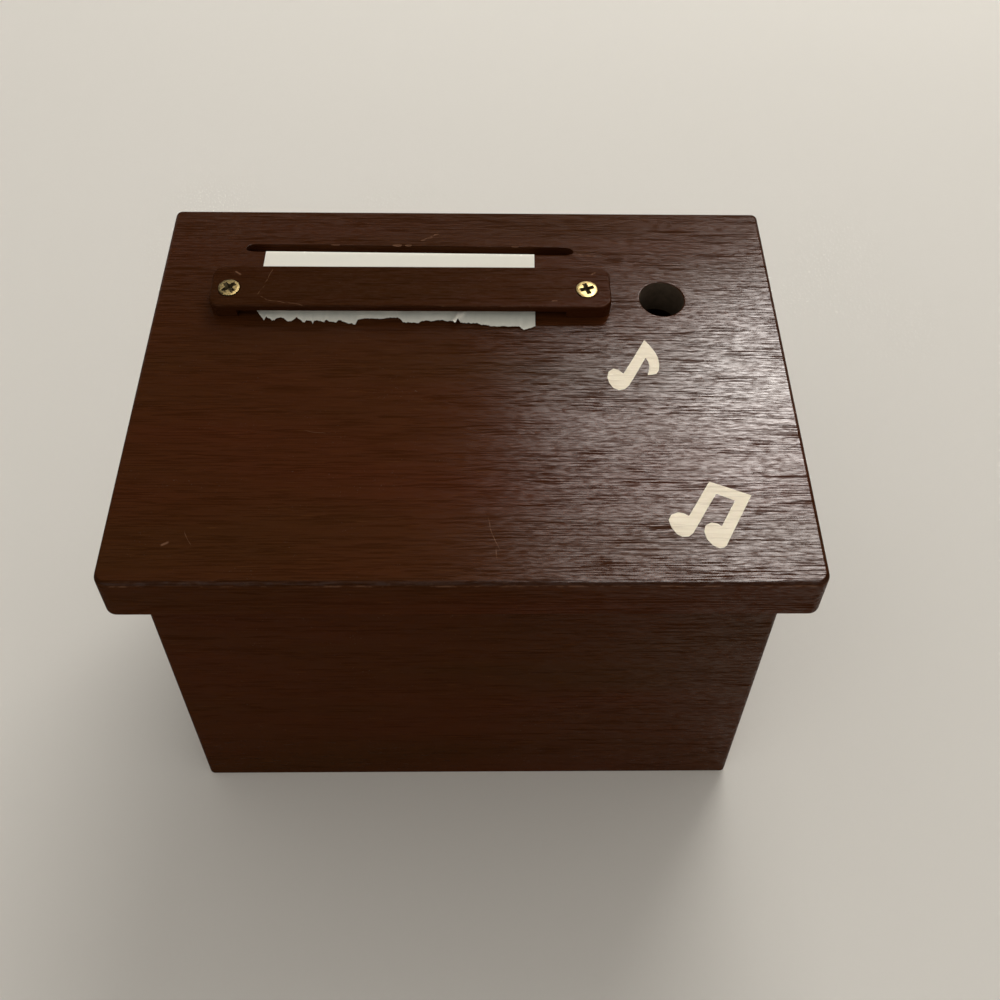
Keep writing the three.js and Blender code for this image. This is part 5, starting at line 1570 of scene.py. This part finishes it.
def lamp(name, place, target, width, power):
    """A soft square lamp that faces a point and that nothing mirrors."""
    light = bpy.data.lights.new(name, "AREA")
    light.shape = "RECTANGLE"
    light.size = light.size_y = width
    light.energy = power
    light.color = LAMP_TONE
    holder = placed(name, light)
    holder.location = place
    holder.visible_glossy = False
    holder.rotation_euler = (Vector(target) - Vector(place)).to_track_quat("-Z", "Y").to_euler()


class MEMOBOX_OT_stage(Operator):
    """Lays the floor and sets the lamps, the surround and the camera"""

    bl_idname = "memobox.stage"
    bl_label = "Stage"

    def execute(self, context):
        settings = context.scene.memobox_stage
        self.floor(settings)
        self.world(settings)
        self.camera(settings)
        lamp("Key lamp", (0.42, 1.25, 1.35), (0.01, 0, 0.06), 1.0, settings.key_power)
        lamp("Fill lamp", (-0.50, -0.65, 0.75), (0, 0, 0.04), 0.6, settings.fill_power)
        context.scene.view_settings.view_transform = "Standard"
        return {"FINISHED"}

    def floor(self, settings):
        """A wide pale floor, seen only from above and open under the case, that is dimmer in reflections."""
        only()
        bpy.ops.mesh.primitive_plane_add(size=6)
        floor = named("floor")
        nodes = Finish("Pale floor", 0.8, specular=0.2)
        x, y, _ = nodes.parts(nodes.place)
        mirrored = nodes.add("LightPath", output="Is Glossy Ray") * nodes.span(x, 0.0, 0.08, 0.9, 0.1)
        shown = nodes.mix(nodes.noise(nodes.place, 3, 3), shade(settings.floor), shade(settings.floor, 0.97))
        off = abs(y - (FRONT_LOW.y + BACK_HIGH.y) / 2)
        beside = nodes.math("GREATER_THAN", abs(x), FRONT_HIGH.x - MM)
        past = nodes.math("GREATER_THAN", off, (BACK_HIGH.y - FRONT_LOW.y) / 2 - MM)
        facing = 1.0 - nodes.add("NewGeometry", output="Backfacing")
        nodes.feed(nodes.shader["Alpha"], facing * nodes.math("MAXIMUM", beside, past))
        dress(floor, nodes.done(nodes.mix(mirrored, shown, (0, 0, 0, 1))))

    def world(self, settings):
        """Even light all round, with a pale backdrop. In reflections it is dimmer, but for a window."""
        world = bpy.data.worlds.new("Surround")
        bpy.context.scene.world = world
        world.use_nodes = True
        nodes = Nodes(world.node_tree)
        light = world.node_tree.nodes["Background"]
        nodes.feed(light.inputs["Color"], shade(settings.surround))
        across, back, up = nodes.parts(nodes.add("TexCoord", output="Generated"))
        pane = nodes.span(across, 0.03, 0.11, 0, 0.36) + nodes.span(across, 0.17, 0.26, 0, 0.64)
        pane = pane * nodes.span(back, 0.28, 0.37, 0.82, 1.6)
        for value, inside, outside in ((across, 0.36, 0.50), (back - across * 0.2, 0.375, 0.44), (up, 0.80, 0.70)):
            pane = pane * nodes.span(value, inside, outside, 1, 0, smooth=True)
        sides = nodes.span(back, -0.15, -0.55, 0.04, 0.5) + nodes.span(back, 0.43, 0.57, 0, 0.60)
        dim = sides + pane * settings.window_strength
        even = settings.surround_strength
        strength = nodes.add("LightPath", output="Is Glossy Ray") * (dim - even) + even
        nodes.feed(light.inputs["Strength"], strength)
        behind = nodes.add("Background", {"Color": shade(settings.floor, 0.95), "Strength": 1.0})
        seen = nodes.add("LightPath", output="Is Camera Ray")
        mixed = nodes.add("MixShader", {0: seen, 1: Wire(nodes, light.outputs[0]), 2: behind})
        nodes.feed(world.node_tree.nodes["World Output"].inputs["Surface"], mixed)

    def camera(self, settings):
        """The camera, looking down at the front."""
        camera = bpy.data.cameras.new("Camera")
        camera.lens = settings.lens
        camera.sensor_width = 36
        camera.clip_start = 0.01
        holder = placed("Camera", camera)
        yaw = Vector((math.sin(CAMERA_YAW), math.cos(CAMERA_YAW), 0))
        forward = yaw * math.cos(CAMERA_PITCH) - Vector((0, 0, math.sin(CAMERA_PITCH)))
        level = Vector((yaw.y, -yaw.x, 0))
        above = level.cross(forward)
        right = level * math.cos(CAMERA_ROLL) + above * math.sin(CAMERA_ROLL)
        up = above * math.cos(CAMERA_ROLL) - level * math.sin(CAMERA_ROLL)
        turn = Matrix((right, up, -forward)).transposed().to_4x4()
        holder.matrix_world = Matrix.Translation(CAMERA_PLACE) @ turn
        bpy.context.scene.camera = holder


# ---- Panel and registration ----

OPERATORS = (
    MEMOBOX_OT_lid,
    MEMOBOX_OT_tear_bar,
    MEMOBOX_OT_case,
    MEMOBOX_OT_inside_wood,
    MEMOBOX_OT_hinges,
    MEMOBOX_OT_paper,
    MEMOBOX_OT_paper_roll,
    MEMOBOX_OT_notes,
    MEMOBOX_OT_bar_screws,
    MEMOBOX_OT_hinge_screws,
    MEMOBOX_OT_movement_screws,
    MEMOBOX_OT_movement,
    MEMOBOX_OT_worm,
    MEMOBOX_OT_winding,
    MEMOBOX_OT_stop_lever,
    MEMOBOX_OT_stage,
)


class MEMOBOX_PT_panel(Panel):
    """Lists the pieces of the memo box and their settings"""

    bl_idname = "MEMOBOX_PT_panel"
    bl_label = "Memo Box"
    bl_space_type = "VIEW_3D"
    bl_region_type = "UI"
    bl_category = "Memo Box"

    def draw(self, context):
        layout = self.layout
        for operator in OPERATORS:
            layout.operator(operator.bl_idname)
        for name, group in GROUPS.items():
            column = layout.column()
            for setting in group.__annotations__:
                column.prop(getattr(context.scene, name), setting)


CLASSES = (*GROUPS.values(), *OPERATORS, MEMOBOX_PT_panel)


def register():
    """Registers the classes and puts the settings on the scene."""
    for cls in CLASSES:
        bpy.utils.register_class(cls)
    for name, group in GROUPS.items():
        setattr(bpy.types.Scene, name, PointerProperty(type=group))


def unregister():
    """Takes the settings off the scene and unregisters the classes."""
    for name in GROUPS:
        delattr(bpy.types.Scene, name)
    for cls in reversed(CLASSES):
        bpy.utils.unregister_class(cls)


def main():
    """Builds the whole memo box."""
    register()
    for operator in OPERATORS:
        group, name = operator.bl_idname.split(".")
        getattr(getattr(bpy.ops, group), name)()
    only()


if __name__ == "__main__":
    main()
